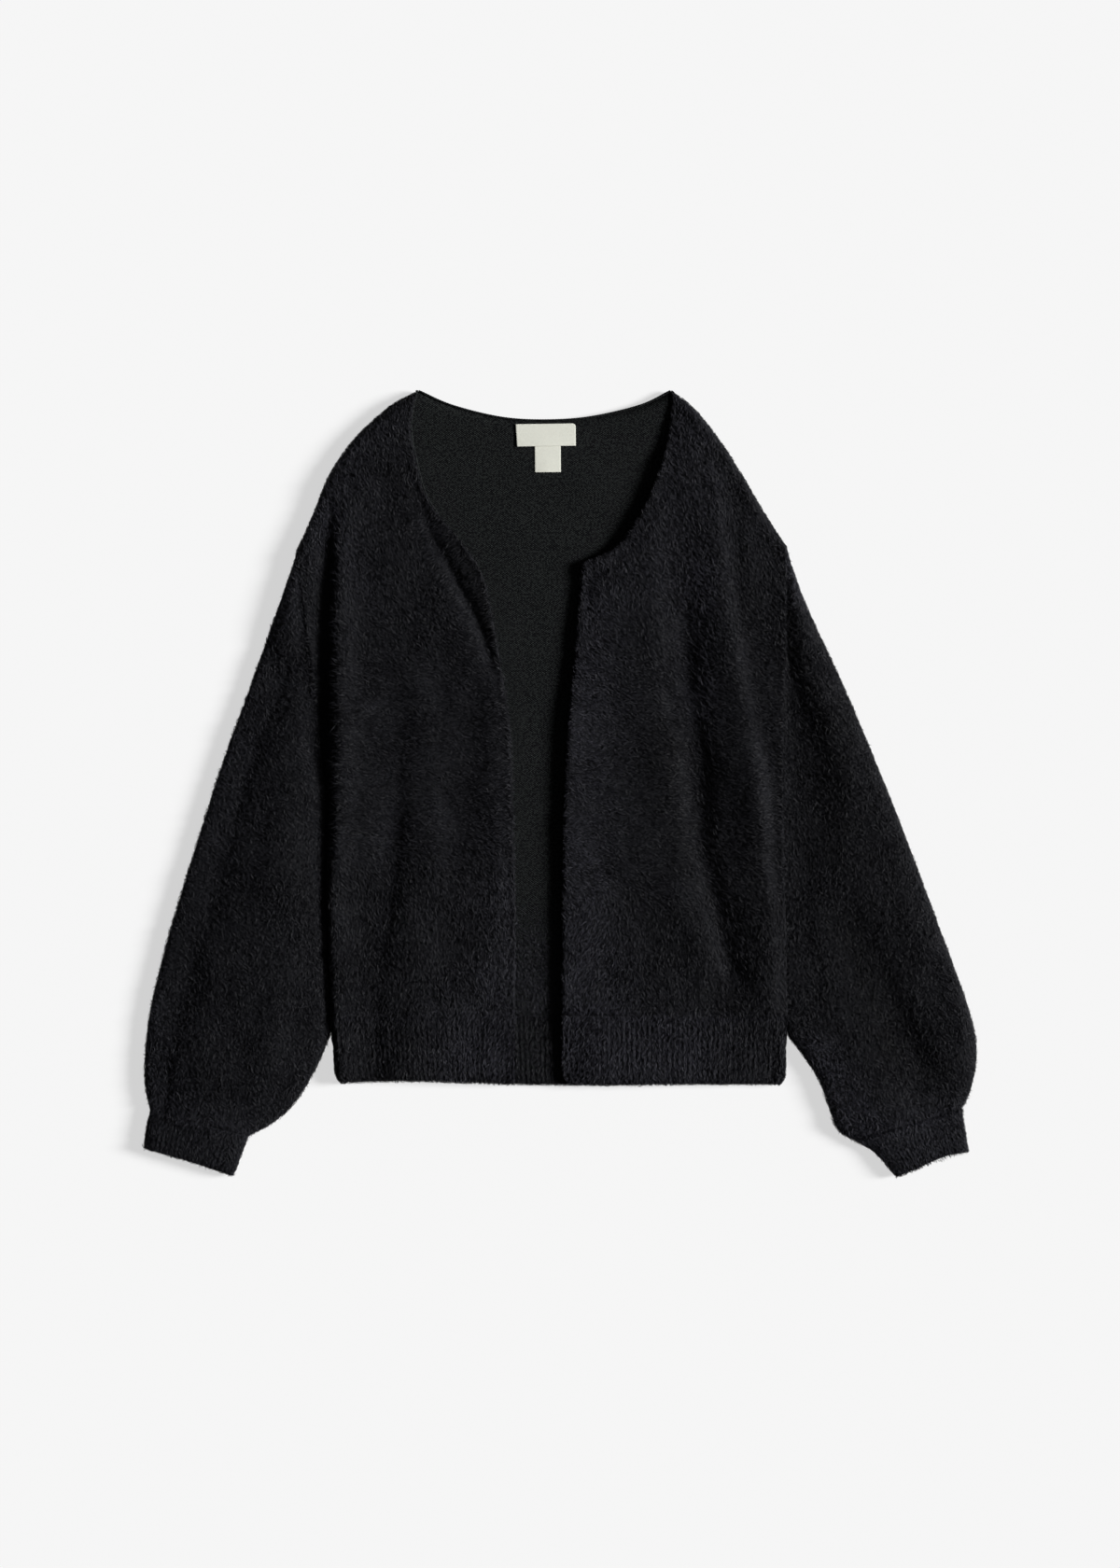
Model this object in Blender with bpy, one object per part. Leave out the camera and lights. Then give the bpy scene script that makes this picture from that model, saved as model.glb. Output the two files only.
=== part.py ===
"""Open-front cardigan in a fluffy eyelash knit, laid flat on its back on a surface.

Frame: origin on the surface under the middle of the garment, +X to the wearer's left, +Y towards the neck,
+Z up off the surface. Sizes in the tables are millimetres; the meshes are in metres.

The back lies flat with its pile down. The two fronts lie on it and meet it at the side and shoulder seams.
Each sleeve is one flattened tube sewn to the straight dropped armhole, and ends in a ribbed cuff.
"""

import math
from collections import namedtuple

import bmesh
import bpy
from mathutils import Vector

MM = 0.001

# Cloth
CLOTH = 4.8  # a wall of the fluffy knit, pile included
SEAM = 0.3  # between two pieces that are sewn together
SLIT = 0.4  # least space left between the two layers of a flattened tube
SEAM_LIP = 1.3  # what is left of the upper layer where it rolls down to a seam
ROLL = 9.0  # how far in from a side the upper layer is still rounding down
UNDER_ROLL = 5.0  # the same for the lower layer, which lifts off the surface
UNDER_LIFT = 2.2  # height of the lower layer's outer edge above the surface
EDGE_ROUND = 2.0  # width of the rounding along a free edge
EDGE_DROP = 1.1  # how much lower the pile lies at a free edge

# Heights above the surface
BACK_TOP = CLOTH
FRONT_TOP = 12.2  # of a front where it lies smooth
HEM_TOP = 11.2
SLEEVE_TOP = 10.6
SLEEVE_CROWN = 2.6  # how much higher the middle of a sleeve is than its edges
CUFF_TOP = 10.4
SLEEVE_EDGE = 5.8  # upper end of a sleeve's rounded side
SLEEVE_SIDE = 6.5  # cloth at a sleeve's folded side, across the sleeve

# Knit rib of the hem and cuffs
RIB_PITCH = 4.6
RIB_HEIGHT = 0.9

# Mesh spacing
COLUMN_STEP = 12.5
ROW_COUNT = 30  # rows of a front, from its rib to its shoulder
SIDE_ROWS = 14  # of those, rows below the underarm on the side
NECK_ROWS = 11  # of those, rows along the neckline on the front edge
BACK_COLUMNS = 26
SHOULDER_COLUMNS = 7
BACK_SIDE_ROWS = 6
BACK_ARM_ROWS = 7
SLEEVE_ROWS = 20
SLEEVE_COLUMNS = 11
CUFF_ROWS = 3
HEM_ROWS = 3

# Woven labels on the inside of the back neck
LABEL_THICKNESS = 0.5
LABEL_STANDS_OFF = 0.9  # how far the label's lower half lifts over the size tab

KNIT_BLACK = (0.012, 0.012, 0.014, 1.0)
RIB_BLACK = (0.014, 0.014, 0.016, 1.0)
LABEL_CREAM = (0.78, 0.78, 0.68, 1.0)


def table(columns, *rows):
    """Rows of numbers with named columns."""
    row = namedtuple("row", columns)
    return [row(*values) for values in rows]


# Side seams from the rib up to the underarm, one row for each height.
SIDES = table(
    "y right left",
    (-194, -191.0, 188.8),
    (-150, -193.0, 188.0),
    (-105, -194.6, 187.0),
    (-55, -195.2, 186.2),
    (-8, -195.0, 185.6),
)

# Upper ends of the straight armhole seams, which start at the underarm.
SHOULDER_TIPS = table("x y", (-220.0, 196.0), (189.5, 198.5))

# Shoulder lines from the tip to the neck.
RIGHT_SHOULDER = table(
    "x y",
    (-220, 196),
    (-206.5, 226),
    (-194, 257),
    (-173, 288),
    (-144, 315),
    (-118.6, 329.3),
)
LEFT_SHOULDER = table(
    "x y",
    (189.5, 198.5),
    (171.5, 226),
    (153.5, 257),
    (133.5, 288),
    (112, 314.5),
    (92.8, 329.3),
)

# Edge of the back neck, from the right shoulder to the left one.
BACK_NECK = table(
    "x y",
    (-118.6, 329.3),
    (-90.5, 317),
    (-50, 307),
    (-13.3, 304.6),
    (25, 307.2),
    (67, 317),
    (92.8, 329.3),
)

# Front opening. The right front's corner is turned in, so its edge runs up in one curve; the left front keeps
# its corner between the straight edge and the neckline.
RIGHT_EDGE = table(
    "x y", (-36.7, -194), (-36, -120), (-37.4, -40), (-39.5, 36), (-45, 80)
)
RIGHT_NECKLINE = table(
    "x y",
    (-45, 80),
    (-54, 146),
    (-63, 178),
    (-84, 206),
    (-109, 238),
    (-119.3, 272),
    (-123.6, 300),
    (-118.6, 329.3),
)
LEFT_EDGE = table("x y", (1.2, -194), (1.4, -120), (2.6, -40), (5.9, 36), (18.3, 184.8))
LEFT_NECKLINE = table(
    "x y",
    (18.3, 184.8),
    (47.5, 199.5),
    (69, 231),
    (86.5, 273),
    (93, 312),
    (92.8, 329.3),
)

# Hems, from the rib seam down.
RIGHT_HEM_SIDE = table("x y", (-191, -194.3), (-190, -222), (-188.6, -242), (-184, -250.6))
RIGHT_HEM_LINE = table("x y", (-184, -250.6), (-146, -247.2), (-108, -249), (-37.4, -252.3))
RIGHT_HEM_EDGE = table("x y", (-36.7, -194.3), (-37, -222), (-37.4, -252.3))
LEFT_HEM_EDGE = table("x y", (1.2, -194.3), (1.2, -222), (2.4, -244), (9, -252))
LEFT_HEM_LINE = table("x y", (9, -252), (56, -252.5), (160, -250.5), (184, -252))
LEFT_HEM_SIDE = table("x y", (188.8, -194.3), (189.3, -222), (189, -244), (184, -252))
BACK_HEM_LINE = table("x y", (-184, -250.6), (-108, -249.5), (-13, -252.4), (100, -252), (184, -252))
BACK_HEM_RIGHT = table("x y", (-191, -194.3), (-190, -222), (-188.6, -242), (-184, -250.6))
BACK_HEM_LEFT = table("x y", (188.8, -194.3), (189.3, -222), (189, -244), (184, -252))

# Labels: middle, size, and turn in degrees.
NECK_LABEL, SIZE_LABEL = table(
    "x y width height turn",
    (-11.7, 291.3, 50, 19, -1.5),
    (-10.1, 271.2, 22, 22, 0.5),
)

# Sleeves: the fold away from the body and the fold beside it, one row for each section, from the armhole to
# the cuff. rise is how much higher than a plain tube the section's middle lies.
RIGHT_SLEEVE = table(
    "outer_x outer_y inner_x inner_y rise",
    (-220.0, 196.0, -196.2, -8, -0.4),
    (-237.0, 148.0, -196.6, -32, 0.0),
    (-259.0, 85.5, -196.8, -58, 0.2),
    (-281.8, 23.0, -196.6, -86, 0.2),
    (-302.0, -39.5, -196.0, -116, 0.3),
    (-321.4, -102.0, -195.0, -147, 0.4),
    (-334.6, -148.6, -193.4, -178, 0.4),
    (-343.4, -186.0, -192.4, -206, 0.5),
    (-347.6, -217.0, -199.8, -231, 0.6),
    (-348.8, -243.0, -216.8, -262, 0.5),
    (-347.4, -258.0, -235.0, -281, 0.2),
    (-344.0, -272.6, -259.3, -295, -0.6),
)
LEFT_SLEEVE = table(
    "outer_x outer_y inner_x inner_y rise",
    (189.5, 198.5, 186.8, -8, -0.4),
    (208.0, 148.0, 187.5, -34, 0.0),
    (237.0, 85.5, 188.0, -63, 0.2),
    (263.6, 23.0, 188.4, -93, 0.2),
    (288.6, -39.5, 189.2, -124, 0.3),
    (312.0, -102.0, 189.8, -155, 0.4),
    (329.2, -148.6, 190.3, -184, 0.4),
    (341.8, -184.0, 191.2, -209, 0.5),
    (348.8, -211.0, 202.6, -228, 0.6),
    (349.2, -233.0, 215.3, -248, 0.5),
    (345.4, -253.0, 227.4, -279, 0.2),
    (337.7, -270.3, 243.4, -297.6, -0.6),
)
RIGHT_CUFF = table(
    "outer_x outer_y inner_x inner_y rise",
    (-344.0, -272.6, -259.3, -295.0, 0.0),
    (-347.6, -288.0, -264.6, -309.0, 0.0),
    (-349.6, -304.5, -272.2, -328.6, 0.0),
)
LEFT_CUFF = table(
    "outer_x outer_y inner_x inner_y rise",
    (337.7, -270.3, 243.4, -297.6, 0.0),
    (339.6, -287.0, 261.0, -311.5, 0.0),
    (343.2, -307.0, 280.0, -329.3, 0.0),
)

# Folds of the cloth: a ridge where rise is positive, a trough where it is negative. reach is its half width.
FRONT_FOLDS = table(
    "x0 y0 x1 y1 reach rise",
    (138, 236, 158, 137, 13, 3.2),  # ridge under the left shoulder
    (158, 137, 177, 20, 15, 4.2),
    (177, 20, 180, -165, 12, 4.0),
    (114, 190, 116, 120, 8, -2.6),  # trough beside it, which slants to the hem
    (117, 110, 129, -38, 9, -4.4),
    (130, -45, 158, -172, 9, -4.4),
    (74, 60, 101, -120, 17, -1.3),  # shallow hollow of the left front
    (39, 181, 26, 150, 6, -2.0),  # at the left front's corner
    (22, 160, 8, -180, 16, 2.6),  # the left front's edge stands off the back
    (52, 192, 92, 290, 10, 1.8),  # and so does its neckline
    (-186, 270, -192, 190, 7, -5.2),  # groove between the right front and its sleeve
    (-192, 190, -196, 60, 8, -6.0),
    (-196, 60, -196, -20, 6, -4.0),
    (-172, 230, -178, -120, 13, 2.6),  # ridge along that groove
    (-134, 150, -130, -40, 13, -2.0),  # long shallow trough of the right front
    (-130, -40, -148, -190, 13, -2.2),
    (-112, 222, -88, 186, 6, -4.4),  # crease where the right front's corner turns
    (-88, 186, -58, 128, 7, -5.2),
    (-58, 128, -50, 92, 5, -3.0),
    (-94, 214, -72, 172, 10, -4.2),  # the turned corner lies lower, on the back
    (-72, 172, -49, 110, 10, -4.2),
    (-128, 214, -84, 140, 15, 3.0),  # the swell before that crease
    (-132, 300, -126, 240, 9, 1.2),
    (-72, 10, -78, -120, 15, -1.2),
    (-44, 30, -42, -180, 12, 1.2),
)
SLEEVE_FOLDS = table(
    "x0 y0 x1 y1 reach rise",
    (180, 160, 229, 8, 12, -2.2),  # long trough inside the left sleeve's outer fold
    (232, -6, 262, -120, 13, -2.2),
    (270, -150, 316, -242, 11, -2.6),
    (300, -120, 333, -215, 12, 1.6),
    (-240, 128, -263, 8, 13, -1.6),  # the right sleeve falls off towards its outer fold
    (-268, -10, -300, -130, 13, -1.6),
    (-303, -150, -313, -215, 11, -1.6),
    (-249, -184, -266, -262, 9, -1.8),  # puckers above the cuffs
    (-318, -225, -326, -266, 8, -1.4),
    (-286, -215, -296, -276, 9, 1.0),
    (262, -214, 284, -282, 9, -1.4),
    (236, -240, 262, -286, 8, 1.0),
)


def xy(rows):
    return [Vector((row.x, row.y)) for row in rows]


def lengths(points):
    """Distance along the line at each point."""
    along = [0.0]
    for a, b in zip(points, points[1:]):
        along.append(along[-1] + (b - a).length)
    return along


def at(points, along, distance):
    for i in range(1, len(points)):
        if distance <= along[i] or i == len(points) - 1:
            span = max(along[i] - along[i - 1], 1e-9)
            return points[i - 1].lerp(points[i], (distance - along[i - 1]) / span)
    return points[-1]


def smooth(points, per_span=10):
    """A curve through all the points."""
    ends = [points[0] * 2 - points[1], *points, points[-1] * 2 - points[-2]]
    made = []
    for p0, p1, p2, p3 in zip(ends, ends[1:], ends[2:], ends[3:]):
        for k in range(per_span):
            t = k / per_span
            made.append(
                0.5
                * (
                    2 * p1
                    + (p2 - p0) * t
                    + (2 * p0 - 5 * p1 + 4 * p2 - p3) * t**2
                    + (3 * p1 - p0 - 3 * p2 + p3) * t**3
                )
            )
    return [*made, points[-1]]


def sample(points, shares):
    """The points of a smooth curve at these shares of its length."""
    fine = smooth(points)
    along = lengths(fine)
    return [at(fine, along, share * along[-1]) for share in shares]


def even(count):
    return [i / count for i in range(count + 1)]


def shares_for(length, step, first=(), last=()):
    """Shares of a length: the first and last offsets from its two ends, and even steps between them."""
    start, end = [0.0, *first], [length - offset for offset in (*reversed(last), 0.0)]
    count = max(1, round((end[0] - start[-1]) / step))
    middle = [start[-1] + (end[0] - start[-1]) * i / count for i in range(1, count)]
    return [offset / length for offset in (*start, *middle, *end)]


def joined(lower, upper):
    """Two sampled lines that share an end point."""
    return lower + upper[1:]


def coons(bottom, top, left, right, across):
    """A grid of plan points inside four border lines. across is the share of the width at each column."""
    left_along, right_along = lengths(left), lengths(right)
    grid = []
    for i in range(len(left)):
        v = (left_along[i] / left_along[-1] + right_along[i] / right_along[-1]) / 2
        row = []
        for j, u in enumerate(across):
            ruled = bottom[j] * (1 - v) + top[j] * v + left[i] * (1 - u) + right[i] * u
            corners = (bottom[0] * (1 - u) + bottom[-1] * u) * (1 - v)
            corners = corners + (top[0] * (1 - u) + top[-1] * u) * v
            row.append(ruled - corners)
        grid.append(row)
    return grid


def distance_to(point, line):
    nearest = math.inf
    for a, b in zip(line, line[1:]):
        run = b - a
        share = (point - a).dot(run) / max(run.length_squared, 1e-9)
        foot = a + run * min(max(share, 0.0), 1.0)
        nearest = min(nearest, (point - foot).length)
    return nearest


def swell(distance, reach):
    """From 0 at an edge to 1 at its reach, along a quarter circle."""
    short = 1 - min(max(distance / reach, 0.0), 1.0)
    return math.sqrt(1 - short * short)


def drape(point, folds):
    """Height that the folds add at a plan point: the highest ridge and the deepest trough there."""
    ridge = trough = 0.0
    for fold in folds:
        a, b = Vector((fold.x0, fold.y0)), Vector((fold.x1, fold.y1))
        away = distance_to(point, [a, b]) / fold.reach
        height = fold.rise * math.exp(-away * away)
        ridge, trough = max(ridge, height), min(trough, height)
    return ridge + trough


def material(name, colour, roughness):
    made = bpy.data.materials.new(name)
    made.use_nodes = True
    shader = made.node_tree.nodes["Principled BSDF"]
    shader.inputs["Base Color"].default_value = colour
    shader.inputs["Roughness"].default_value = roughness
    shader.inputs["Metallic"].default_value = 0.0
    return made


def finish(name, bm, surface):
    """Turns a closed bmesh in millimetres into an object in metres."""
    bmesh.ops.recalc_face_normals(bm, faces=bm.faces)
    bmesh.ops.scale(bm, vec=(MM, MM, MM), verts=bm.verts)
    mesh = bpy.data.meshes.new(name)
    bm.to_mesh(mesh)
    bm.free()
    mesh.shade_smooth()
    mesh.set_sharp_from_angle(angle=math.radians(50))
    mesh.materials.append(surface)
    made = bpy.data.objects.new(name, mesh)
    bpy.context.scene.collection.objects.link(made)
    return made


def skin(bm, rows, closed=False):
    """Quads between rows of vertices. closed joins each row's last vertex to its first."""
    for row, after in zip(rows, rows[1:]):
        count = len(row)
        for j in range(count if closed else count - 1):
            k = (j + 1) % count
            bm.faces.new((row[j], row[k], after[k], after[j]))


def lay(name, grid, top, under, surface):
    """A wall of cloth over a grid of plan points. top and under give its heights at (point, row, column)."""
    bm = bmesh.new()
    upper, lower = (
        [
            [bm.verts.new((p.x, p.y, height(p, i, j))) for j, p in enumerate(row)]
            for i, row in enumerate(grid)
        ]
        for height in (top, under)
    )
    skin(bm, upper)
    skin(bm, lower)
    rims = []
    for layer in (upper, lower):
        right = [row[-1] for row in layer[1:-1]]
        left = [row[0] for row in layer[1:-1]]
        rims.append([*layer[0], *right, *reversed(layer[-1]), *reversed(left)])
    skin(bm, rims, closed=True)
    return finish(name, bm, surface)


def loft(rows, count):
    """Sections of a sleeve or cuff between the rows of its table."""
    shares = even(count)
    outer = sample([Vector((row.outer_x, row.outer_y)) for row in rows], shares)
    inner = sample([Vector((row.inner_x, row.inner_y)) for row in rows], shares)
    rise = sample([Vector((i, row.rise)) for i, row in enumerate(rows)], shares)
    return [(a, b, lift.y) for a, b, lift in zip(inner, outer, rise)]


def trimmed(sections, at_start, at_end):
    """The sections with the tube's two ends drawn back, so that each seam keeps its space."""
    moved = list(sections)
    for end, beside, back in ((0, 1, at_start), (-1, -2, at_end)):
        a, b, rise = sections[end]
        next_a, next_b, _ = sections[beside]
        normal = (b - a).orthogonal().normalized()
        if normal.dot((next_a + next_b) - (a + b)) < 0:
            normal.negate()
        moved[end] = (a + normal * back, b + normal * back, rise)
    return moved


def tube(name, sections, top, across, surface, rib=0.0):
    """A flattened tube over its sections. top gives the height of its upper side at (point, share, side, rise),
    where side is the distance from the nearer fold. rib is raised on every second column of the upper side."""
    bm = bmesh.new()
    outside, inside = [], []
    for a, b, rise in sections:
        width = (b - a).length
        for margin, layer in ((0.0, outside), (SLEEVE_SIDE, inside)):
            above, below = [], []
            for column, share in enumerate(across):
                offset = margin + share * (width - 2 * margin)
                point = a.lerp(b, offset / width)
                side = min(offset, width - offset)
                z_top = top(point, offset / width, side, rise)
                z_under = UNDER_LIFT * (1 - swell(side, UNDER_ROLL))
                if margin:
                    z_under = CLOTH
                    z_top = max(z_top - CLOTH, CLOTH + SLIT)
                elif side > 0:
                    z_top += rib * (column % 2)
                above.append(bm.verts.new((point.x, point.y, z_top)))
                below.append(bm.verts.new((point.x, point.y, z_under)))
            layer.append([*above, *reversed(below)])
    skin(bm, outside, closed=True)
    skin(bm, inside, closed=True)
    for end in (0, -1):
        skin(bm, [outside[end], inside[end]], closed=True)
    return finish(name, bm, surface)


def sleeve(name, rows, surface):
    def top(point, share, side, rise):
        crown = SLEEVE_TOP + SLEEVE_CROWN * math.sin(math.pi * share) + rise
        full = max(crown + drape(point, SLEEVE_FOLDS), CLOTH * 2 + SLIT)
        return SLEEVE_EDGE + (full - SLEEVE_EDGE) * swell(side, ROLL)

    sections = trimmed(loft(rows, SLEEVE_ROWS), SEAM, SEAM / 2)
    return tube(name, sections, top, even(SLEEVE_COLUMNS), surface)


def cuff(name, rows, surface):
    def top(point, share, side, rise):
        full = CUFF_TOP + 0.8 * math.sin(math.pi * share) + rise
        return SLEEVE_EDGE + (full - SLEEVE_EDGE) * swell(side, ROLL)

    sections = trimmed(loft(rows, CUFF_ROWS), SEAM / 2, 0.0)
    a, b, _ = sections[0]
    ribs = round((b - a).length / RIB_PITCH)
    return tube(name, sections, top, even(2 * ribs), surface, RIB_HEIGHT)


def rounded_edge(distance):
    """How far the pile lies lower at this distance from a free edge."""
    return EDGE_DROP * (1 - swell(distance, EDGE_ROUND))


def front(name, side, armhole, shoulder, edge, neckline, side_is_right, surface):
    """One front, from its rib to its shoulder."""
    side_line = joined(sample(side, even(SIDE_ROWS)), sample(armhole, even(ROW_COUNT - SIDE_ROWS)))
    edge_line = joined(sample(edge, even(ROW_COUNT - NECK_ROWS)), sample(neckline, even(NECK_ROWS)))
    width = (side_line[0] - edge_line[0]).length
    near_side, near_edge = (2.0, 5.0), (EDGE_ROUND,)
    if side_is_right:
        across = shares_for(width, COLUMN_STEP, near_edge, near_side)
        left, right = edge_line, side_line
        end = sample(shoulder[::-1], across)
    else:
        across = shares_for(width, COLUMN_STEP, near_side, near_edge)
        left, right = side_line, edge_line
        end = sample(shoulder, across)
    start = [left[0].lerp(right[0], share) for share in across]
    grid = coons(start, end, left, right, across)
    rolled = [smooth(side), smooth(shoulder)]
    free = joined(smooth(edge), smooth(neckline))
    low = BACK_TOP + SEAM

    def top(point, _row, _column):
        full = FRONT_TOP + drape(point, FRONT_FOLDS) - rounded_edge(distance_to(point, free))
        near = min(distance_to(point, line) for line in rolled)
        return low + SEAM_LIP + (max(full, low + CLOTH) - low - SEAM_LIP) * swell(near, ROLL)

    def under(point, row, column):
        return max(top(point, row, column) - CLOTH, low)

    return lay(name, grid, top, under, surface)


def front_hem(name, left, right, line, side, surface):
    """The rib of one front, from its seam down. It rolls down to the back's rib along its side."""
    ribs = round((left[0] - right[0]).length / RIB_PITCH)
    across = even(2 * ribs)
    left_line, right_line = sample(left, even(HEM_ROWS)), sample(right, even(HEM_ROWS))
    start = [left_line[0].lerp(right_line[0], share) for share in across]
    grid = coons(start, sample(line, across), left_line, right_line, across)
    low = BACK_TOP + SEAM
    side_line, hem_line = smooth(side), smooth(line)

    def top(point, row, column):
        full = HEM_TOP + 0.6 * drape(point, FRONT_FOLDS)
        full -= EDGE_DROP * (1 - swell(distance_to(point, hem_line), ROLL))
        full += RIB_HEIGHT * (0.35 if row == 0 else 1.0) * (column % 2)
        return low + SEAM_LIP + (full - low - SEAM_LIP) * swell(distance_to(point, side_line), ROLL)

    return lay(name, grid, top, lambda *_: low, surface)


def side_seam(column):
    return [Vector((getattr(row, column), row.y)) for row in SIDES]


def armhole(column, tip):
    """The straight seam from the underarm to the shoulder's tip."""
    return [side_seam(column)[-1], Vector((tip.x, tip.y))]


def back(surface):
    """The back, from its rib to the shoulders and the neck."""
    right, left = (
        joined(sample(side_seam(column), even(BACK_SIDE_ROWS)), sample(armhole(column, tip), even(BACK_ARM_ROWS)))
        for column, tip in zip(("right", "left"), SHOULDER_TIPS)
    )
    neck_columns = BACK_COLUMNS - 2 * SHOULDER_COLUMNS
    end = joined(
        sample(xy(RIGHT_SHOULDER), even(SHOULDER_COLUMNS)),
        joined(
            sample(xy(BACK_NECK), even(neck_columns)),
            sample(xy(LEFT_SHOULDER)[::-1], even(SHOULDER_COLUMNS)),
        ),
    )
    across = [(point.x - end[0].x) / (end[-1].x - end[0].x) for point in end]
    start = [right[0].lerp(left[0], share) for share in across]
    grid = coons(start, end, right, left, across)
    return lay("back_panel", grid, lambda *_: BACK_TOP, lambda *_: 0.0, surface)


def back_hem(surface):
    right, left = (sample(xy(line), even(HEM_ROWS)) for line in (BACK_HEM_RIGHT, BACK_HEM_LEFT))
    across = even(BACK_COLUMNS)
    start = [right[0].lerp(left[0], share) for share in across]
    grid = coons(start, sample(xy(BACK_HEM_LINE), across), right, left, across)
    return lay("back_hem", grid, lambda *_: BACK_TOP, lambda *_: 0.0, surface)


def label(name, shape, lifts, surface):
    """A woven label on the back's inside. lifts is how far its lower edge stands off."""
    turn = math.radians(shape.turn)
    across, up = Vector((math.cos(turn), math.sin(turn))), Vector((-math.sin(turn), math.cos(turn)))
    centre = Vector((shape.x, shape.y))
    grid = [
        [centre + across * (shape.width * u) + up * (shape.height * v) for u in (-0.5, -0.25, 0.0, 0.25, 0.5)]
        for v in (-0.5, -0.2, 0.0, 0.25, 0.5)
    ]
    low = BACK_TOP + SEAM
    raised = (1.0, 0.9, 0.55, 0.12, 0.0)
    return lay(
        name,
        grid,
        lambda _point, row, _column: low + LABEL_THICKNESS + lifts * raised[row],
        lambda _point, row, _column: low + lifts * raised[row],
        surface,
    )


def main():
    for leftover in list(bpy.data.objects):
        bpy.data.objects.remove(leftover)
    knit = material("eyelash_knit", KNIT_BLACK, 0.95)
    rib = material("eyelash_rib", RIB_BLACK, 0.95)
    woven = material("woven_label", LABEL_CREAM, 0.8)

    back(knit)
    back_hem(rib)
    front(
        "right_front",
        side_seam("right"),
        armhole("right", SHOULDER_TIPS[0]),
        xy(RIGHT_SHOULDER),
        xy(RIGHT_EDGE),
        xy(RIGHT_NECKLINE),
        False,
        knit,
    )
    front(
        "left_front",
        side_seam("left"),
        armhole("left", SHOULDER_TIPS[1]),
        xy(LEFT_SHOULDER),
        xy(LEFT_EDGE),
        xy(LEFT_NECKLINE),
        True,
        knit,
    )
    right_side, left_side = xy(RIGHT_HEM_SIDE), xy(LEFT_HEM_SIDE)
    front_hem("right_front_hem", right_side, xy(RIGHT_HEM_EDGE), xy(RIGHT_HEM_LINE), right_side, rib)
    front_hem("left_front_hem", xy(LEFT_HEM_EDGE), left_side, xy(LEFT_HEM_LINE), left_side, rib)
    sleeve("right_sleeve", RIGHT_SLEEVE, knit)
    sleeve("left_sleeve", LEFT_SLEEVE, knit)
    cuff("right_cuff", RIGHT_CUFF, rib)
    cuff("left_cuff", LEFT_CUFF, rib)
    label("neck_label", NECK_LABEL, LABEL_STANDS_OFF, woven)
    label("size_label", SIZE_LABEL, 0.0, woven)


main()
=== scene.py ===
"""Open-front cardigan in a fluffy eyelash knit, laid flat on its back on a pale studio floor.

Each knitted piece is a thin shell on its solid's form, worked out in millimetres from the same tables as the
solid, with its pile as a mesh of its own. +X is to the wearer's left, +Y towards the neck, +Z off the floor.
"""

import math
from collections import namedtuple

import bpy
import numpy as np
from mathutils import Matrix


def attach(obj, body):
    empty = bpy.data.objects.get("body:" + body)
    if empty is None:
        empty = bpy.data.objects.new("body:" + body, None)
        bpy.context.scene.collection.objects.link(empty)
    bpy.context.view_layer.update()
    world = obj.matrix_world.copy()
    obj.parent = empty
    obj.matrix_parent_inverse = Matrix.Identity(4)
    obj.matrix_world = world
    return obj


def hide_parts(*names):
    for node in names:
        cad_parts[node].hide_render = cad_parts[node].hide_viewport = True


bl_info = {
    "name": "Eyelash-Knit Cardigan",
    "version": (1, 0, 0),
    "blender": (4, 5, 0),
    "location": "View3D > Sidebar > Cardigan",
    "description": "Builds an open-front eyelash-knit cardigan laid flat, with its pile, labels and floor",
    "category": "Add Mesh",
}

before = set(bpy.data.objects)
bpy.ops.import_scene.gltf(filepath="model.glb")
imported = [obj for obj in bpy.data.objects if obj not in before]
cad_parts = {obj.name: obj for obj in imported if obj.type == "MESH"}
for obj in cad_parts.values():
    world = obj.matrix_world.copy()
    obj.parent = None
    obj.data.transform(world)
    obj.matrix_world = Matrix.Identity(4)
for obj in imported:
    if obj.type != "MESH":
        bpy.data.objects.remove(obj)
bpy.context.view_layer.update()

MM = 0.001

# The stage: metres, the photo's height in pixels, its millimetres a pixel, and the sensor's height in
# millimetres. The camera's height is over the cloth's middle layer, itself in millimetres.
FLOOR_SIZE = 60
CAMERA_HEIGHT = 3.4
CLOTH_MIDDLE = 9.0
PHOTO_HEIGHT = 1680
PHOTO_SCALE = 0.78
SENSOR = 36.0

# Cloth, in millimetres
GROUND = 2.4  # the knit under the pile
PILE_BED = 2.0  # how far the knit lies under the solid's upper side, where the pile lies
BACK_INSIDE = 4.5  # height of the back's smooth inside
BACK_UNDER = 1.7  # height of its other side, which stands on its pile
FRONT_TOP = 12.2  # heights of the solids' upper sides, from here to the cuffs'
HEM_TOP = 11.2
SLEEVE_TOP = 10.6
CUFF_TOP = 10.4
SLEEVE_CROWN = 2.6  # how much higher a sleeve is along its middle
SLEEVE_FOLD = 5.8  # height of the knit at a sleeve's or cuff's fold
SIDE_LOW = 4.9  # height of the knit at the body's side, where no sleeve lies beside it
ROLL = 9.0  # width of the roll of the cloth at a fold or a side
RIB_PITCH = 4.3
STITCH = 2.2
TUBE_WALL = 3.0  # how far a tube's inner side stays inside its outer one
FOLD_INSET = 1.8  # how far the knit stays inside a sleeve's fold, for its pile
CUFF_INSET = 1.6  # the same at a cuff's folds, a front's free edge, its shoulder, and the hem's lower edge
EDGE_INSET = {"right": 1.5, "left": 0.8}
END_INSET = 1.6
HEM_INSET = 1.2
SLIT_GAP = 0.04  # what stays open of the slit between a side and the sleeve beside it
SIDE_SHARE = 0.47  # share of the rows of a body piece that lie below its armhole
EDGE_SHARE = 0.64  # share of the rows of a front that lie below its neckline
FRONT_ROWS, FRONT_COLUMNS = 124, 54
BACK_ROWS = 64
HEM_ROWS = 16
SLEEVE_ROWS, SLEEVE_COLUMNS = 100, 40
CUFF_ROWS = 14

# ----- The cut, as it lies -----

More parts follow.
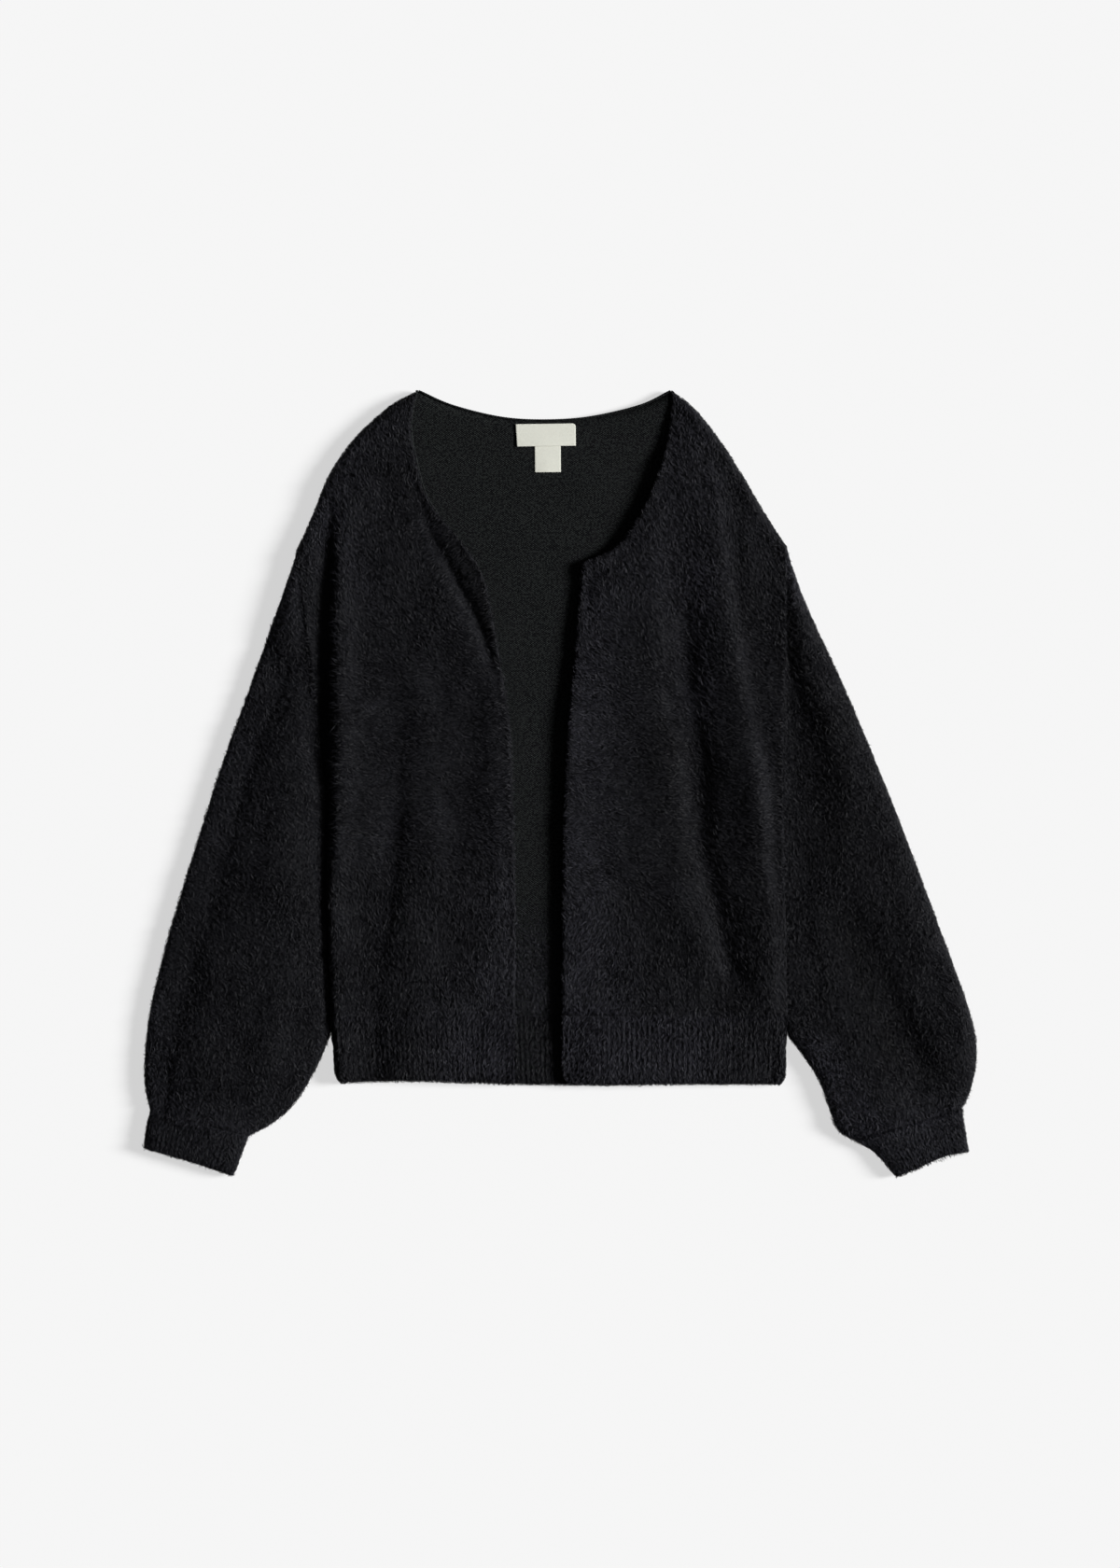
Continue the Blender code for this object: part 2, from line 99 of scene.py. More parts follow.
# Lines of the outline, x and y. Right and left are the wearer's. Sides, edges and necklines run up, shoulders
# in, the sides and edges of the hem's rib down, and the other lines from the viewer's left.
SIDE = {
    "right": ((-191.0, -194), (-193.0, -150), (-194.6, -105), (-195.2, -55), (-195.0, -8)),
    "left": ((188.8, -194), (188.0, -150), (187.0, -105), (186.2, -55), (185.6, -8)),
}
SHOULDER = {
    "right": ((-220, 196), (-206.5, 226), (-194, 257), (-173, 288), (-144, 315), (-118.6, 329.3)),
    "left": ((189.5, 198.5), (171.5, 226), (153.5, 257), (133.5, 288), (112, 314.5), (92.8, 329.3)),
}
BACK_NECK = ((-118.6, 329.3), (-90.5, 317), (-50, 307), (-13.3, 304.6), (25, 307.2), (67, 317), (92.8, 329.3))
FRONT_EDGE = {
    "right": ((-36.7, -194), (-36, -120), (-37.4, -40), (-39.5, 36), (-44.5, 80)),
    "left": ((1.2, -194), (1.4, -120), (2.6, -40), (5.9, 36), (18.3, 184.8)),
}
NECKLINE = {
    "right": ((-44.5, 80), (-56, 146), (-64.5, 178), (-84, 206), (-109, 238), (-119.3, 272), (-123.6, 300),
        (-118.6, 329.3)),
    "left": ((18.3, 184.8), (47.5, 199.5), (69, 231), (86.5, 273), (93, 312), (92.8, 329.3)),
}
HEM_SIDE = {
    "right": ((-191, -194.3), (-190, -222), (-188.6, -242), (-184, -250.6)),
    "left": ((188.8, -194.3), (189.3, -222), (189, -244), (184, -252)),
}
HEM_EDGE = {
    "right": ((-36.7, -194.3), (-37, -222), (-37.4, -252.3)),
    "left": ((1.2, -194.3), (1.2, -222), (2.4, -244), (9, -252)),
}
HEM_LINE = {
    "right": ((-184, -250.6), (-146, -247.2), (-108, -249), (-37.4, -252.3)),
    "left": ((9, -252), (56, -252.5), (160, -250.5), (184, -252)),
    "back": ((-184, -250.6), (-108, -249.5), (-13, -252.4), (100, -252), (184, -252)),
}

# Sections of a sleeve from shoulder to cuff, then of a cuff: x and y of the fold away from the body, x and y
# of the fold beside it, and how much higher the middle lies
SLEEVE = {
    "right": (
        (-220.0, 196.0, -196.2, -8, -0.4),
        (-237.0, 148.0, -196.6, -32, 0.0),
        (-259.0, 85.5, -196.8, -58, 0.2),
        (-281.8, 23.0, -196.6, -86, 0.2),
        (-302.0, -39.5, -196.0, -116, 0.3),
        (-321.4, -102.0, -195.0, -147, 0.4),
        (-334.6, -148.6, -193.4, -178, 0.4),
        (-343.4, -186.0, -192.4, -206, 0.5),
        (-347.6, -217.0, -199.8, -231, 0.6),
        (-348.8, -243.0, -216.8, -262, 0.5),
        (-347.4, -258.0, -235.0, -281, 0.2),
        (-344.0, -272.6, -259.3, -295, -0.6),
    ),
    "left": (
        (189.5, 198.5, 186.8, -8, -0.4),
        (208.0, 148.0, 187.5, -34, 0.0),
        (237.0, 85.5, 188.0, -63, 0.2),
        (263.6, 23.0, 188.4, -93, 0.2),
        (288.6, -39.5, 189.2, -124, 0.3),
        (312.0, -102.0, 189.8, -155, 0.4),
        (329.2, -148.6, 190.3, -184, 0.4),
        (341.8, -184.0, 191.2, -209, 0.5),
        (348.8, -211.0, 202.6, -228, 0.6),
        (349.2, -233.0, 215.3, -248, 0.5),
        (345.4, -253.0, 225.4, -276, 0.2),
        (341.9, -262.0, 230.6, -289.6, -0.3),
        (337.7, -270.3, 243.4, -297.6, -0.6),
    ),
}
CUFF = {
    "right": (
        (-344.0, -272.6, -259.3, -295.0, 0.0),
        (-347.6, -288.0, -264.6, -309.0, 0.0),
        (-349.6, -304.5, -272.2, -328.6, 0.0),
    ),
    "left": (
        (337.7, -270.3, 243.4, -297.6, 0.0),
        (339.6, -287.0, 262.0, -308.8, 0.0),
        (343.2, -307.0, 280.0, -329.3, 0.0),
    ),
}

SIDES = ("right", "left")
AWAY = {"right": -1, "left": 1}  # the way along X from the body's middle

# Folds of the cloth. west and east are their half widths to either side, and each point of a path is x, y and
# how far the cloth rises or, below zero, sinks there.
Fold = namedtuple("Fold", "west east path")
FRONT_FOLDS = {
    "left": (
        # the deep trough, and the long ridge beyond it
        Fold(17.4, 11.9, ((104, 226, 0), (104.5, 180, -0.8), (106, 141, -2.5), (107, 89, -3.5), (113, 50, -4),
            (115.5, 17, -5), (118, -40, -4.1), (128.5, -97, -3.1), (136.5, -125, -3.6), (144, -155, -3.5),
            (159.5, -175, -0))),
        Fold(22.3, 7.7, ((127.5, 250, 2.5), (131.5, 214, 2.8), (137.5, 152, 3.1), (145.5, 100, 4.1),
            (155, 56, 2.4), (166.5, -10, 5), (168.5, -60, 3.6), (175.5, -120, 2.5), (176.5, -180, 2.9),
            (180.5, -235, -2))),
        # the short crease by the armhole
        Fold(3.4, 8.4, ((148.5, 240, -0.7), (152.5, 228, 0.3), (156, 175, 1), (157, 150, 0))),
        # the ridge that runs into the trough from the opening's side
        Fold(23.8, 5.6, ((93.5, 70, -2.1), (96.5, 17, 1.8), (104, -40, 0.6), (116.5, -97, 2.2),
            (126, -135, 2.8), (136.5, -170, 0.3))),
        # its edge and its neckline
        Fold(7.3, 14, ((22, 170, -1.8), (6, 60, 1.2), (2, -40, 0.4), (2, -180, -0.2), (6, -240, -1))),
        Fold(10, 5.9, ((39.5, 192, 0), (60.5, 222, 1.4), (84, 270, 1.4))),
        Fold(16, 16, ((88, 268, 0), (92, 292, -1.8), (92.8, 322, -4.4))),
        # the corner between them
        Fold(3.8, 8.7, ((43.5, 186, -1), (32.5, 162, 1), (25, 135, -0.2))),
        # shallow dips and swells
        Fold(8.2, 12.4, ((88.5, -80, 0.6), (103.5, -140, -0.6), (105.5, -190, 0.1), (112, -240, -0.2))),
        Fold(15, 9.8, ((82, 235, 0.1), (78, 180, 0.9), (78.5, 120, 0.8), (82, 70, 1.5))),
        Fold(14.3, 20.9, ((36, 120, -0.4), (39, 20, -0.4), (43, -90, -0.9), (36, -160, -0.2))),
        Fold(9.6, 9.1, ((149, -205, 0.1), (159, -245, 0.8))),
        Fold(8.3, 8.8, ((120, 250, -0.9), (123, 275, -0.5)))),
    "right": (
        # the groove along the armhole, and the ridge beside it
        Fold(11, 4, ((-190, 228, -0.8), (-191.5, 194, -2.4), (-193.5, 155, -3.6), (-194, 93, -4.8),
            (-194.5, 31, -4.6), (-194, -31, -3.8), (-195, -70, -1.4), (-195, -100, 0))),
        Fold(4.2, 14, ((-181, 248, 0), (-184, 216, 1.4), (-185.5, 194, 2.4), (-186.5, 155, 3.6),
            (-186.5, 93, 4.8), (-186.5, 31, 4.6), (-187, -31, 3.2), (-190.5, -94, 2.2), (-190, -150, 1.6),
            (-186, -240, 2.2))),
        # shallow troughs and swells down the front
        Fold(16, 7.6, ((-129, 90, -1), (-136, 30, -0.9), (-136, -30, -2.5), (-141.5, -90, -1.8),
            (-150.5, -160, -1.4), (-156, -217, -1.4), (-151, -246, -1))),
        Fold(10.7, 11, ((-99, 60, 0.2), (-92, -16, -1.3), (-87, -88, -0.1), (-89, -180, -0.3))),
        Fold(13.5, 10.6, ((-75.5, 60, -0.5), (-76, 0, -1.1), (-67.5, -90, -0.2), (-71, -160, 0.5),
            (-72, -240, -1.2))),
        # its edge
        Fold(18.8, 5.6, ((-54, 70, 0.7), (-52.5, 0, 0.6), (-51, -90, 1.2), (-49.5, -190, 0.3),
            (-43.5, -246, -1))),
        # the turned corner's crease, and the swell beside it
        Fold(6, 4.4, ((-115.5, 232, -0.3), (-104, 203, -2.4), (-85, 168, -3), (-68.5, 138, -3),
            (-59, 112, -2.8), (-50, 86, 0))),
        Fold(13, 5, ((-119, 244, -1), (-107, 204, 0.4), (-92, 166, 0.6), (-73, 126, 0.5), (-62, 92, 0))),
        # a short tuck
        Fold(7, 5.5, ((-172.5, 56, 0.7), (-164, 62, 1.7), (-152.5, 67, -0.2), (-142, 70, -1.8))),
        # shallow dips
        Fold(8.6, 13.8, ((-147.5, 250, -1.2), (-141.5, 190, 0.9), (-134.5, 130, -0.7), (-128.5, 90, 1.5))),
        Fold(13.8, 18.2, ((-110, -30, 0.9), (-120, -100, 0.9), (-120, -170, 0.4), (-130, -240, 1.5))),
        Fold(16.8, 11.1, ((-160.5, -40, -0.1), (-164.5, -120, -1.4), (-163.5, -200, 0))),
        Fold(12.4, 11.8, ((-100, 150, 0.3), (-96.5, 100, -0.6), (-97.5, 50, -0.4))))
}
SLEEVE_FOLDS = {
    "left": (
        Fold(4.4, 5.4, ((177, 178, -0.7), (185, 124, -3.5), (194.5, 90, -1.3), (207.5, 62, -0.3),
            (223.5, 40, 0.3), (240, 0, 0.5))),
        Fold(14.2, 11.7, ((218.5, 76, 1.7), (232.5, 36, 1.4), (247, -4, 1.2))),
        Fold(26, 13.4, ((236, -80, -0.4), (247.5, -122, -2.1), (268, -160, -3), (283.5, -203, -4.2),
            (307.5, -246, -2.9), (324, -262, -1.1))),
        Fold(27, 14.4, ((252, 70, 0.5), (279.5, 0, 1.3), (305.5, -70, 1.4), (324.5, -140, 1.4),
            (339, -200, 1.7))),
        Fold(23.4, 18.1, ((205, 40, -1.7), (209, -20, -1.9), (225, -90, -0.6), (245, -160, -0.7))),
        Fold(9.6, 8.2, ((261, -200, 0.3), (275.5, -236, -0.1), (287.5, -270, 0.7))),
        Fold(7.9, 7.2, ((232.5, -216, -0.5), (247, -250, 0.3), (262, -282, 0.4))),
        Fold(6.3, 5.7, ((301.5, -236, -0.8), (307.5, -262, 0.6), (315, -276, -0.5))),
        Fold(14.8, 12.4, ((200.5, -60, -1.9), (205.5, -130, -0.9), (215.5, -190, -0.5))),
        Fold(13.7, 8.7, ((260, -20, 0.1), (282.5, -80, 1.2), (306, -140, 1.4)))),
    "right": (
        Fold(23, 26.1, ((-245.5, 92, -5.4), (-283, -2, -3.4), (-307.5, -117, -2.7), (-323.5, -170, -2.3),
            (-339, -232, -3.5))),
        Fold(9.7, 6.3, ((-245.5, -150, -0.2), (-255, -190, -0.3), (-266.5, -231, -0.8), (-271.5, -268, 0.5))),
        Fold(19.2, 13.3, ((-225, 90, -0.1), (-219.5, 0, 0.9), (-224.5, -90, 1.7), (-227, -170, 0.4))),
        Fold(9.8, 8.7, ((-313, -210, 0), (-320.5, -240, 1), (-338.5, -264, -2.8))),
        Fold(11.3, 17, ((-263, 70, -0.4), (-294, -50, -2), (-326, -150, -2.8), (-343, -220, -1))),
        Fold(9.5, 10.9, ((-231.5, 40, -0.2), (-234.5, -40, 0.7), (-248, -110, 0.4))),
        Fold(10.2, 9.3, ((-269.5, -120, 0.1), (-276.5, -180, -0.7), (-282.5, -230, -0.7))),
        Fold(13.6, 10.7, ((-236, -190, 1.6), (-241.5, -230, 0.9), (-249, -262, 1.3))))
}

# ----- Lines and heights -----


def smooth(points, per_span=14):
    """A curve through all the points."""
    p = np.asarray(points, float)
    p = np.vstack([2 * p[0] - p[1], p, 2 * p[-1] - p[-2]])
    t = np.linspace(0, 1, per_span, endpoint=False)[:, None]
    spans = [0.5 * (2 * b + (c - a) * t + (2 * a - 5 * b + 4 * c - d) * t**2 + (3 * b - a - 3 * c + d) * t**3)
        for a, b, c, d in zip(p, p[1:], p[2:], p[3:])]
    return np.vstack([*spans, p[-2]])


def run(line):
    """Distance along a line at each of its points."""
    return np.concatenate([[0.0], np.cumsum(np.linalg.norm(np.diff(line, axis=0), axis=1))])


def at(line, shares):
    """The points of a line at these shares of its length, or this many points evenly along it."""
    if isinstance(shares, int):
        shares = np.linspace(0, 1, shares)
    along = run(line)
    return np.stack([np.interp(shares, along / along[-1], line[:, k]) for k in range(line.shape[1])], axis=-1)


def unit(vectors):
    """Vectors made one long."""
    return vectors / np.maximum(np.linalg.norm(vectors, axis=1, keepdims=True), 1e-9)


def nearest(points, line, values=None):
    """For each plan point: its distance to the line, the foot of it there, and the value at that foot."""
    best = np.full(len(points), np.inf)
    feet = np.zeros((len(points), 2))
    value = np.zeros(len(points))
    for k, (a, b) in enumerate(zip(line, line[1:])):
        step = b - a
        share = np.clip((points - a) @ step / max(step @ step, 1e-9), 0, 1)
        foot = a + share[:, None] * step
        away = np.hypot(*(points - foot).T)
        nearer = away < best
        best[nearer], feet[nearer] = away[nearer], foot[nearer]
        if values is not None:
            value[nearer] = (values[k] + share * (values[k + 1] - values[k]))[nearer]
    return best, feet, value


def distance(points, *lines):
    """Distance from plan points to the nearest of the lines."""
    return np.min([nearest(points, np.asarray(line, float))[0] for line in lines], axis=0)


def nearness(points, line, reach):
    """From 1 on a line to about 0 well past its reach."""
    return np.exp(-((distance(points, line) / reach) ** 2))


def inside(points, loop):
    """Whether plan points lie inside a closed line."""
    x, y = points.T
    within = np.zeros(len(points), bool)
    for (ax, ay), (bx, by) in zip(loop, np.roll(loop, -1, axis=0)):
        crosses = (ay > y) != (by > y)
        within ^= crosses & (x < (bx - ax) * (y - ay) / (by - ay if by != ay else 1e-9) + ax)
    return within


def swell(distance, reach):
    """From 0 at an edge to 1 at its reach, along a quarter circle."""
    return np.sqrt(1 - (1 - np.clip(distance / reach, 0, 1)) ** 2)


def waves(points, shortest, longest, seed):
    """A smooth, even mix of waves, about -1 to 1."""
    count = 14
    draw = np.random.default_rng(seed)
    angle, phase = draw.uniform(0, 2 * np.pi, (2, count))
    number = 2 * np.pi / np.exp(draw.uniform(math.log(shortest), math.log(longest), count))
    turn = points[:, :1] * (number * np.cos(angle)) + points[:, 1:2] * (number * np.sin(angle)) + phase
    return np.sin(turn).sum(1) / math.sqrt(count / 2) * 0.7


def drape(points, folds):
    """Height that the folds add at each point."""
    height = np.zeros(len(points))
    for fold in folds:
        path = np.asarray(fold.path, float)
        away, feet, rise = nearest(points, path[:, :2], path[:, 2])
        reach = np.where(points[:, 0] > feet[:, 0], fold.east, fold.west)
        height += rise * np.exp(-((away / reach) ** 2))
    return height


# ----- Meshes -----

Shell = namedtuple("Shell", "points quads top rim under")  # top, rim and under mark the outer quads


def signed_volume(points, quads):
    """Six times the volume inside the quads, below zero where they face inwards."""
    a, b, c, d = (points[quads[:, k]] for k in range(4))
    return ((a * np.cross(b, c)).sum() + (a * np.cross(c, d)).sum()) / 6


def grid_quads(first, rows, columns, closed=False):
    """Quads over a grid of points from index first on, whose rows may be closed rings."""
    i, j = np.meshgrid(np.arange(rows - 1), np.arange(columns if closed else columns - 1), indexing="ij")
    a = first + i * columns + j
    b = first + i * columns + (j + 1) % columns
    return np.stack([a, b, b + columns, a + columns], axis=-1).reshape(-1, 4)


def sheet_shell(plan, top, under):
    """A closed thin wall over a grid of plan points."""
    rows, columns = plan.shape[:2]
    count = rows * columns
    points = np.concatenate([np.concatenate([plan, top[..., None]], axis=2).reshape(-1, 3),
        np.concatenate([plan, under[..., None]], axis=2).reshape(-1, 3)])
    index = np.arange(count).reshape(rows, columns)
    ring = np.concatenate([index[0, :-1], index[:-1, -1], index[-1, :0:-1], index[:0:-1, 0]])
    after = np.roll(ring, -1)
    parts = (grid_quads(0, rows, columns), np.stack([ring + count, after + count, after, ring], axis=1),
        grid_quads(count, rows, columns)[:, ::-1])
    kind = np.repeat([0, 1, 2], [len(part) for part in parts])
    quads = np.concatenate(parts)
    if signed_volume(points, quads) < 0:
        quads = quads[:, ::-1]
    return Shell(points, quads, kind == 0, kind == 1, kind == 2)


def tube_shell(outer, inner):
    """A closed wall between two flattened tubes, each an array of (sections, points round, 3). A section runs
    over the tube's upper side and back under it."""
    sections, around = outer.shape[:2]
    count = sections * around
    caps = []
    for row in (0, sections - 1):
        ring = row * around + np.arange(around)
        after = np.roll(ring, -1)
        quad = np.stack([ring, after, after + count, ring + count], axis=1)
        caps.append(quad if row else quad[:, ::-1])
    outside = grid_quads(0, sections, around, closed=True)
    quads = np.concatenate([outside, grid_quads(count, sections, around, closed=True)[:, ::-1], *caps])
    column = np.full(len(quads), -1)
    column[: len(outside)] = np.tile(np.arange(around), sections - 1)
    half = around // 2
    points = np.concatenate([outer.reshape(-1, 3), inner.reshape(-1, 3)])
    if signed_volume(points, quads) < 0:
        quads = quads[:, ::-1]
    fold = (column == half - 1) | (column == around - 1)
    return Shell(points, quads, (column >= 0) & (column < half - 1), fold, (column >= half) & ~fold)


def add_mesh(name, points, faces, finish, uv=None, flat=False):
    """An object from points in millimetres and faces that all have the same number of corners."""
    mesh = bpy.data.meshes.new(name)
    sides = faces.shape[1]
    mesh.vertices.add(len(points))
    mesh.vertices.foreach_set("co", np.ascontiguousarray(points * MM, np.float32).ravel())
    mesh.loops.add(faces.size)
    mesh.loops.foreach_set("vertex_index", np.ascontiguousarray(faces, np.int32).ravel())
    mesh.polygons.add(len(faces))
    mesh.polygons.foreach_set("loop_start", np.arange(0, faces.size, sides, dtype=np.int32))
    if uv is not None:
        layer = mesh.uv_layers.new(name="OFBake")
        layer.uv.foreach_set("vector", np.ascontiguousarray(uv, np.float32).ravel())
    mesh.update(calc_edges=True)
    mesh.validate()
    if not flat:
        mesh.shade_smooth()
    mesh.materials.append(finish)
    made = bpy.data.objects.new(name, mesh)
    bpy.context.scene.collection.objects.link(made)
    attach(made, "root")
    return made


def add_cloth(node, shell, finish):
    """The knit that stands for a node."""
    made = add_mesh(f"{node}_knit", shell.points, shell.quads, finish)
    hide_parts(node)
    return made


def edge_roll(name, path, radius):
    """The rolled edge of the knit along a path of points in millimetres, with a bump for each stitch."""
    path = at(path, int(run(path)[-1] / 0.7))
    along = run(path)
    ahead = unit(np.gradient(path, axis=0))
    side = unit(np.cross(ahead, (0, 0, 1.0)))
    up = np.cross(side, ahead)
    thick = radius * (1 + 0.12 * np.sin(2 * np.pi * along / STITCH))
    thick[0] = thick[-1] = radius * 0.05
    sides = 8
    turn = np.linspace(0, 2 * np.pi, sides, endpoint=False)
    spokes = np.cos(turn)[:, None] * side[:, None] + np.sin(turn)[:, None] * up[:, None]
    points = (path[:, None] + thick[:, None, None] * spokes).reshape(-1, 3)
    quads = grid_quads(0, len(path), sides, closed=True)
    first = np.arange(sides)
    last = (len(path) - 1) * sides + first
    fan = np.zeros(sides - 2, int)
    tris = np.concatenate([quads[:, [0, 1, 2]], quads[:, [0, 2, 3]],
        np.stack([fan, first[2:], first[1:-1]], 1), np.stack([fan + last[0], last[1:-1], last[2:]], 1)])
    a, b, c = (points[tris[:, k]] for k in range(3))
    if (a * np.cross(b, c)).sum() < 0:
        tris = tris[:, ::-1]
    roll = add_mesh(name, points, tris, finish_of("knit_inside"))
    return roll


# ----- Pile -----

SHADES = 48  # shades of yarn, side by side on the pile's map
# Light and shade painted on the pile, lighter or, below zero, darker: painted sheen where the pile's lie
# catches the light, painted shadow on the turned corner and a lit edge, and painted light over shaded seams.
# How much, how far to either side, and where.
PAINTED_LIGHT_AND_SHADE = {
    "right_front": (
        (0.36, 22, ((-165, 305), (-195, 250), (-205, 215))),
        (0.16, 14, ((-128, 318), (-142, 285))),
        (0.30, 3.5, ((-161, 63), (-154, 66))),
        (0.16, 16, ((-186, 215), (-172, 170))),
        (0.13, 16, ((-158, 240), (-158, 150))),
        (-0.36, 9, ((-86, 203), (-71, 170), (-57, 130))),
        (-0.10, 3, ((-84, 206), (-64, 178), (-56, 146), (-46, 92))),
        (0.12, 14, ((-140, -30), (-142, -70))),
        (-0.08, 24, ((-168, 90), (-168, -20))),
        (0.14, 30, ((-45, -20), (-48, -60))),
        (0.32, 32, ((-46, -100), (-50, -195))),
        (0.16, 22, ((-92, -185), (-62, -170))),
        (0.05, 30, ((-100, -40), (-110, -190))),
        (0.14, 4, ((-190, -193), (-37, -193))),
    ),
    "left_front": (
        (0.44, 42, ((10, -200), (14, -10), (22, 150))),
        (0.10, 34, ((20, -120), (20, -170))),
        (0.32, 42, ((86, 300), (98, 230), (85, 190))),
        (0.38, 18, ((118, 170), (118, 60))),
        (0.14, 14, ((171, 215), (171, 190))),
        (0.12, 16, ((47, -136), (47, -150))),
        (0.16, 16, ((112, 310), (124, 250), (128, 190))),
        (-0.24, 15, ((92, 30), (104, -60))),
        (-0.12, 20, ((15, 0), (20, -30))),
        (-0.10, 28, ((88, 50), (80, 20))),
        (0.14, 30, ((60, -190), (100, -190))),
        (0.14, 4, ((1, -193), (189, -193))),
    ),
    "right_front_hem": (
        (-0.04, 60, ((-190, -225), (-120, -225))),
        (0.58, 36, ((-40, -225), (-75, -225))),
        (0.14, 4, ((-190, -195), (-37, -195))),
    ),
    "left_front_hem": (
        (0.58, 50, ((10, -225), (90, -225))),
        (0.08, 40, ((150, -225), (186, -225))),
        (0.14, 4, ((1, -195), (189, -195))),
    ),
    "right_sleeve": (
        (0.14, 24, ((-262, 95), (-272, -50))),
        (-0.13, 14, ((-214, 0), (-218, -100))),
        (0.14, 12, ((-312, -215), (-318, -262))),
        (0.26, 18, ((-222, 190), (-232, 150))),
        (-0.08, 14, ((-296, -230), (-296, -268))),
        (0.14, 18, ((-340, -185), (-345, -235))),
        (0.20, 16, ((-262, -285), (-335, -265))),
        (0.12, 4, ((-259, -295), (-344, -272))),
        (0.28, 5, (
            (-222, 190), (-259, 85), (-302, -39), (-334, -148), (-347, -217), (-348, -245), (-344, -272),
        )),
    ),
    "left_sleeve": (
        (0.50, 18, ((190, 190), (200, 165))),
        (-0.22, 6, ((183, 170), (193, 127), (201, 100), (216, 68), (224, 42))),
        (-0.12, 18, ((192, 110), (198, 40), (225, 15))),
        (-0.36, 15, ((240, -120), (256, -165), (272, -215))),
        (-0.2, 14, ((234, 60), (234, -60))),
        (0.52, 18, ((218, -225), (240, -275))),
        (0.16, 14, ((248, -245), (256, -285))),
        (0.26, 5, ((203, -228), (215, -250), (228, -288), (243, -298))),
        (-0.12, 14, ((274, -170), (300, -240))),
        (0.08, 18, ((325, -120), (345, -210))),
        (0.34, 16, ((262, -285), (325, -272))),
        (0.12, 4, ((243, -298), (338, -270))),
    ),
    "right_cuff": ((0.14, 60, ((-300, -290), (-310, -320))), (0.12, 4, ((-259, -296), (-344, -273)))),
    "left_cuff": (
        (0.44, 60, ((290, -290), (310, -320))),
        (0.12, 4, ((243, -299), (338, -271))),
        (0.30, 5, ((243, -298), (262, -309), (280, -329))),
    ),
    "back_panel": ((0.26, 60, ((-25, -150), (-25, -190))),),
    "back_hem": ((0.02, 60, ((-50, -225), (14, -225))),),
}
FLOOR_GAP = 0.25  # no blade reaches lower
MOST_BLADES = 99000  # on one piece, at two triangles each
CLUMP = 2.8  # how wide a clump of blades is, in millimetres
SHORT_SHARE = 0.6  # share of the blades that are short to middling, where the others are middling to long
TO_BEND, PAST_BEND = 0.42, 0.58  # shares of a blade's length
GUARD = 8  # how far from a free edge blades turn away from it
FRAY = 4  # how far past a border a blade may be before it is brought back


def corner_normals(shell):
    """Normals of a shell at its points."""
    a, b, c, d = (shell.points[shell.quads[:, k]] for k in range(4))
    flat = np.cross(c - a, d - b)
    normals = np.zeros_like(shell.points)
    for k in range(4):
        np.add.at(normals, shell.quads[:, k], flat)
    return unit(normals)


def centres(shell):
    """Plan points in the middle of each quad."""
    return shell.points[shell.quads].mean(1)[:, :2]


def scatter(shell, weights, density, draw):
    """Points spread evenly on the shell, density for each square millimetre times its quad's weight, and the
    normals there."""
    normals = corner_normals(shell)
    tris = np.concatenate([shell.quads[:, [0, 1, 2]], shell.quads[:, [0, 2, 3]]])
    a, b, c = (shell.points[tris[:, k]] for k in range(3))
    area = np.linalg.norm(np.cross(b - a, c - a), axis=1) / 2 * np.concatenate([weights, weights])
    total = np.cumsum(area)
    count = int(min(total[-1] * density, MOST_BLADES))
    picked = np.searchsorted(total, (np.arange(count) + draw.random(count)) / count * total[-1])
    picked = np.minimum(picked, len(tris) - 1)
    u, v = draw.random((2, count))
    turned = u + v > 1
    u[turned], v[turned] = 1 - u[turned], 1 - v[turned]
    mix = np.stack([1 - u - v, u, v], axis=1)[..., None]
    corner = tris[picked]
    return (shell.points[corner] * mix).sum(1), unit((normals[corner] * mix).sum(1))


def grain(points, base, regions, wander, seed):
    """Angle of the pile's grain: base (one angle in degrees, or heights and the angles there), turned towards
    each region's own angle near its line. A region is its angle in degrees, its reach and its line."""
    if isinstance(base, tuple):
        heights, angles = zip(*base)
        base = np.interp(points[:, 1], heights, angles)
    turn = np.radians(np.broadcast_to(base, len(points)) * 2)
    x, y = np.cos(turn), np.sin(turn)
    for angle, reach, line in regions:
        near = nearness(points, line, reach)
        turn = math.radians(2 * angle)
        x += (math.cos(turn) - x) * near
        y += (math.sin(turn) - y) * near
    return np.arctan2(y, x) / 2 + wander * waves(points, 14, 60, seed)


def painted_light_and_courses(shade, roots, name, courses, seed):
    """The blades' shades, from 0 to 1, once painted light and shade and the courses have changed them."""
    # painted light and shade: lighter or darker near each of this piece's lines
    for amount, far, line in PAINTED_LIGHT_AND_SHADE[name]:
        shade += amount * nearness(roots[:, :2], line, far)
    if courses:  # here and there a course shows as a thin dark line
        course = np.sin(2 * np.pi * (roots[:, 1] + 1.2 * waves(roots, 30, 110, seed + 7)) / 3.9)
        faint = np.clip(0.5 + waves(roots, 22, 70, seed + 9), 0, 1)
        faint *= np.interp(roots[:, 1], (-40, 90), (1, 0.35))
        shade -= 0.28 * faint * (course > 0.45)
    return np.clip(shade, 0, 1)


def bring_back(points, border, most, draw):
    """Moves points that reach more than most past the border back to near it, unevenly."""
    past = draw.uniform(0, most, len(points))
    away, feet, _ = nearest(points[:, :2], border)
    out = ~inside(points[:, :2], border) & (away > past)
    back = past[out] - draw.uniform(0, 1, out.sum()) * np.minimum(away[out], FRAY)
    points[out, :2] = feet[out] + (points[out, :2] - feet[out]) * (back / away[out])[:, None]


def blade_map(shade):
    """The corners of the blades' triangles on the map: a blade's shade across it, and its length up it."""
    column = (np.floor(shade * (SHADES - 1e-6)) + 0.5) / SHADES
    side = 0.4 / SHADES
    low, mid, high = 0.01, 0.45, 0.99
    places = ((0, low), (side, mid), (-side, mid), (-side, mid), (side, mid), (0, high))
    return np.stack([np.stack([column + shift, np.full(len(shade), v)], 1) for shift, v in places], axis=1)


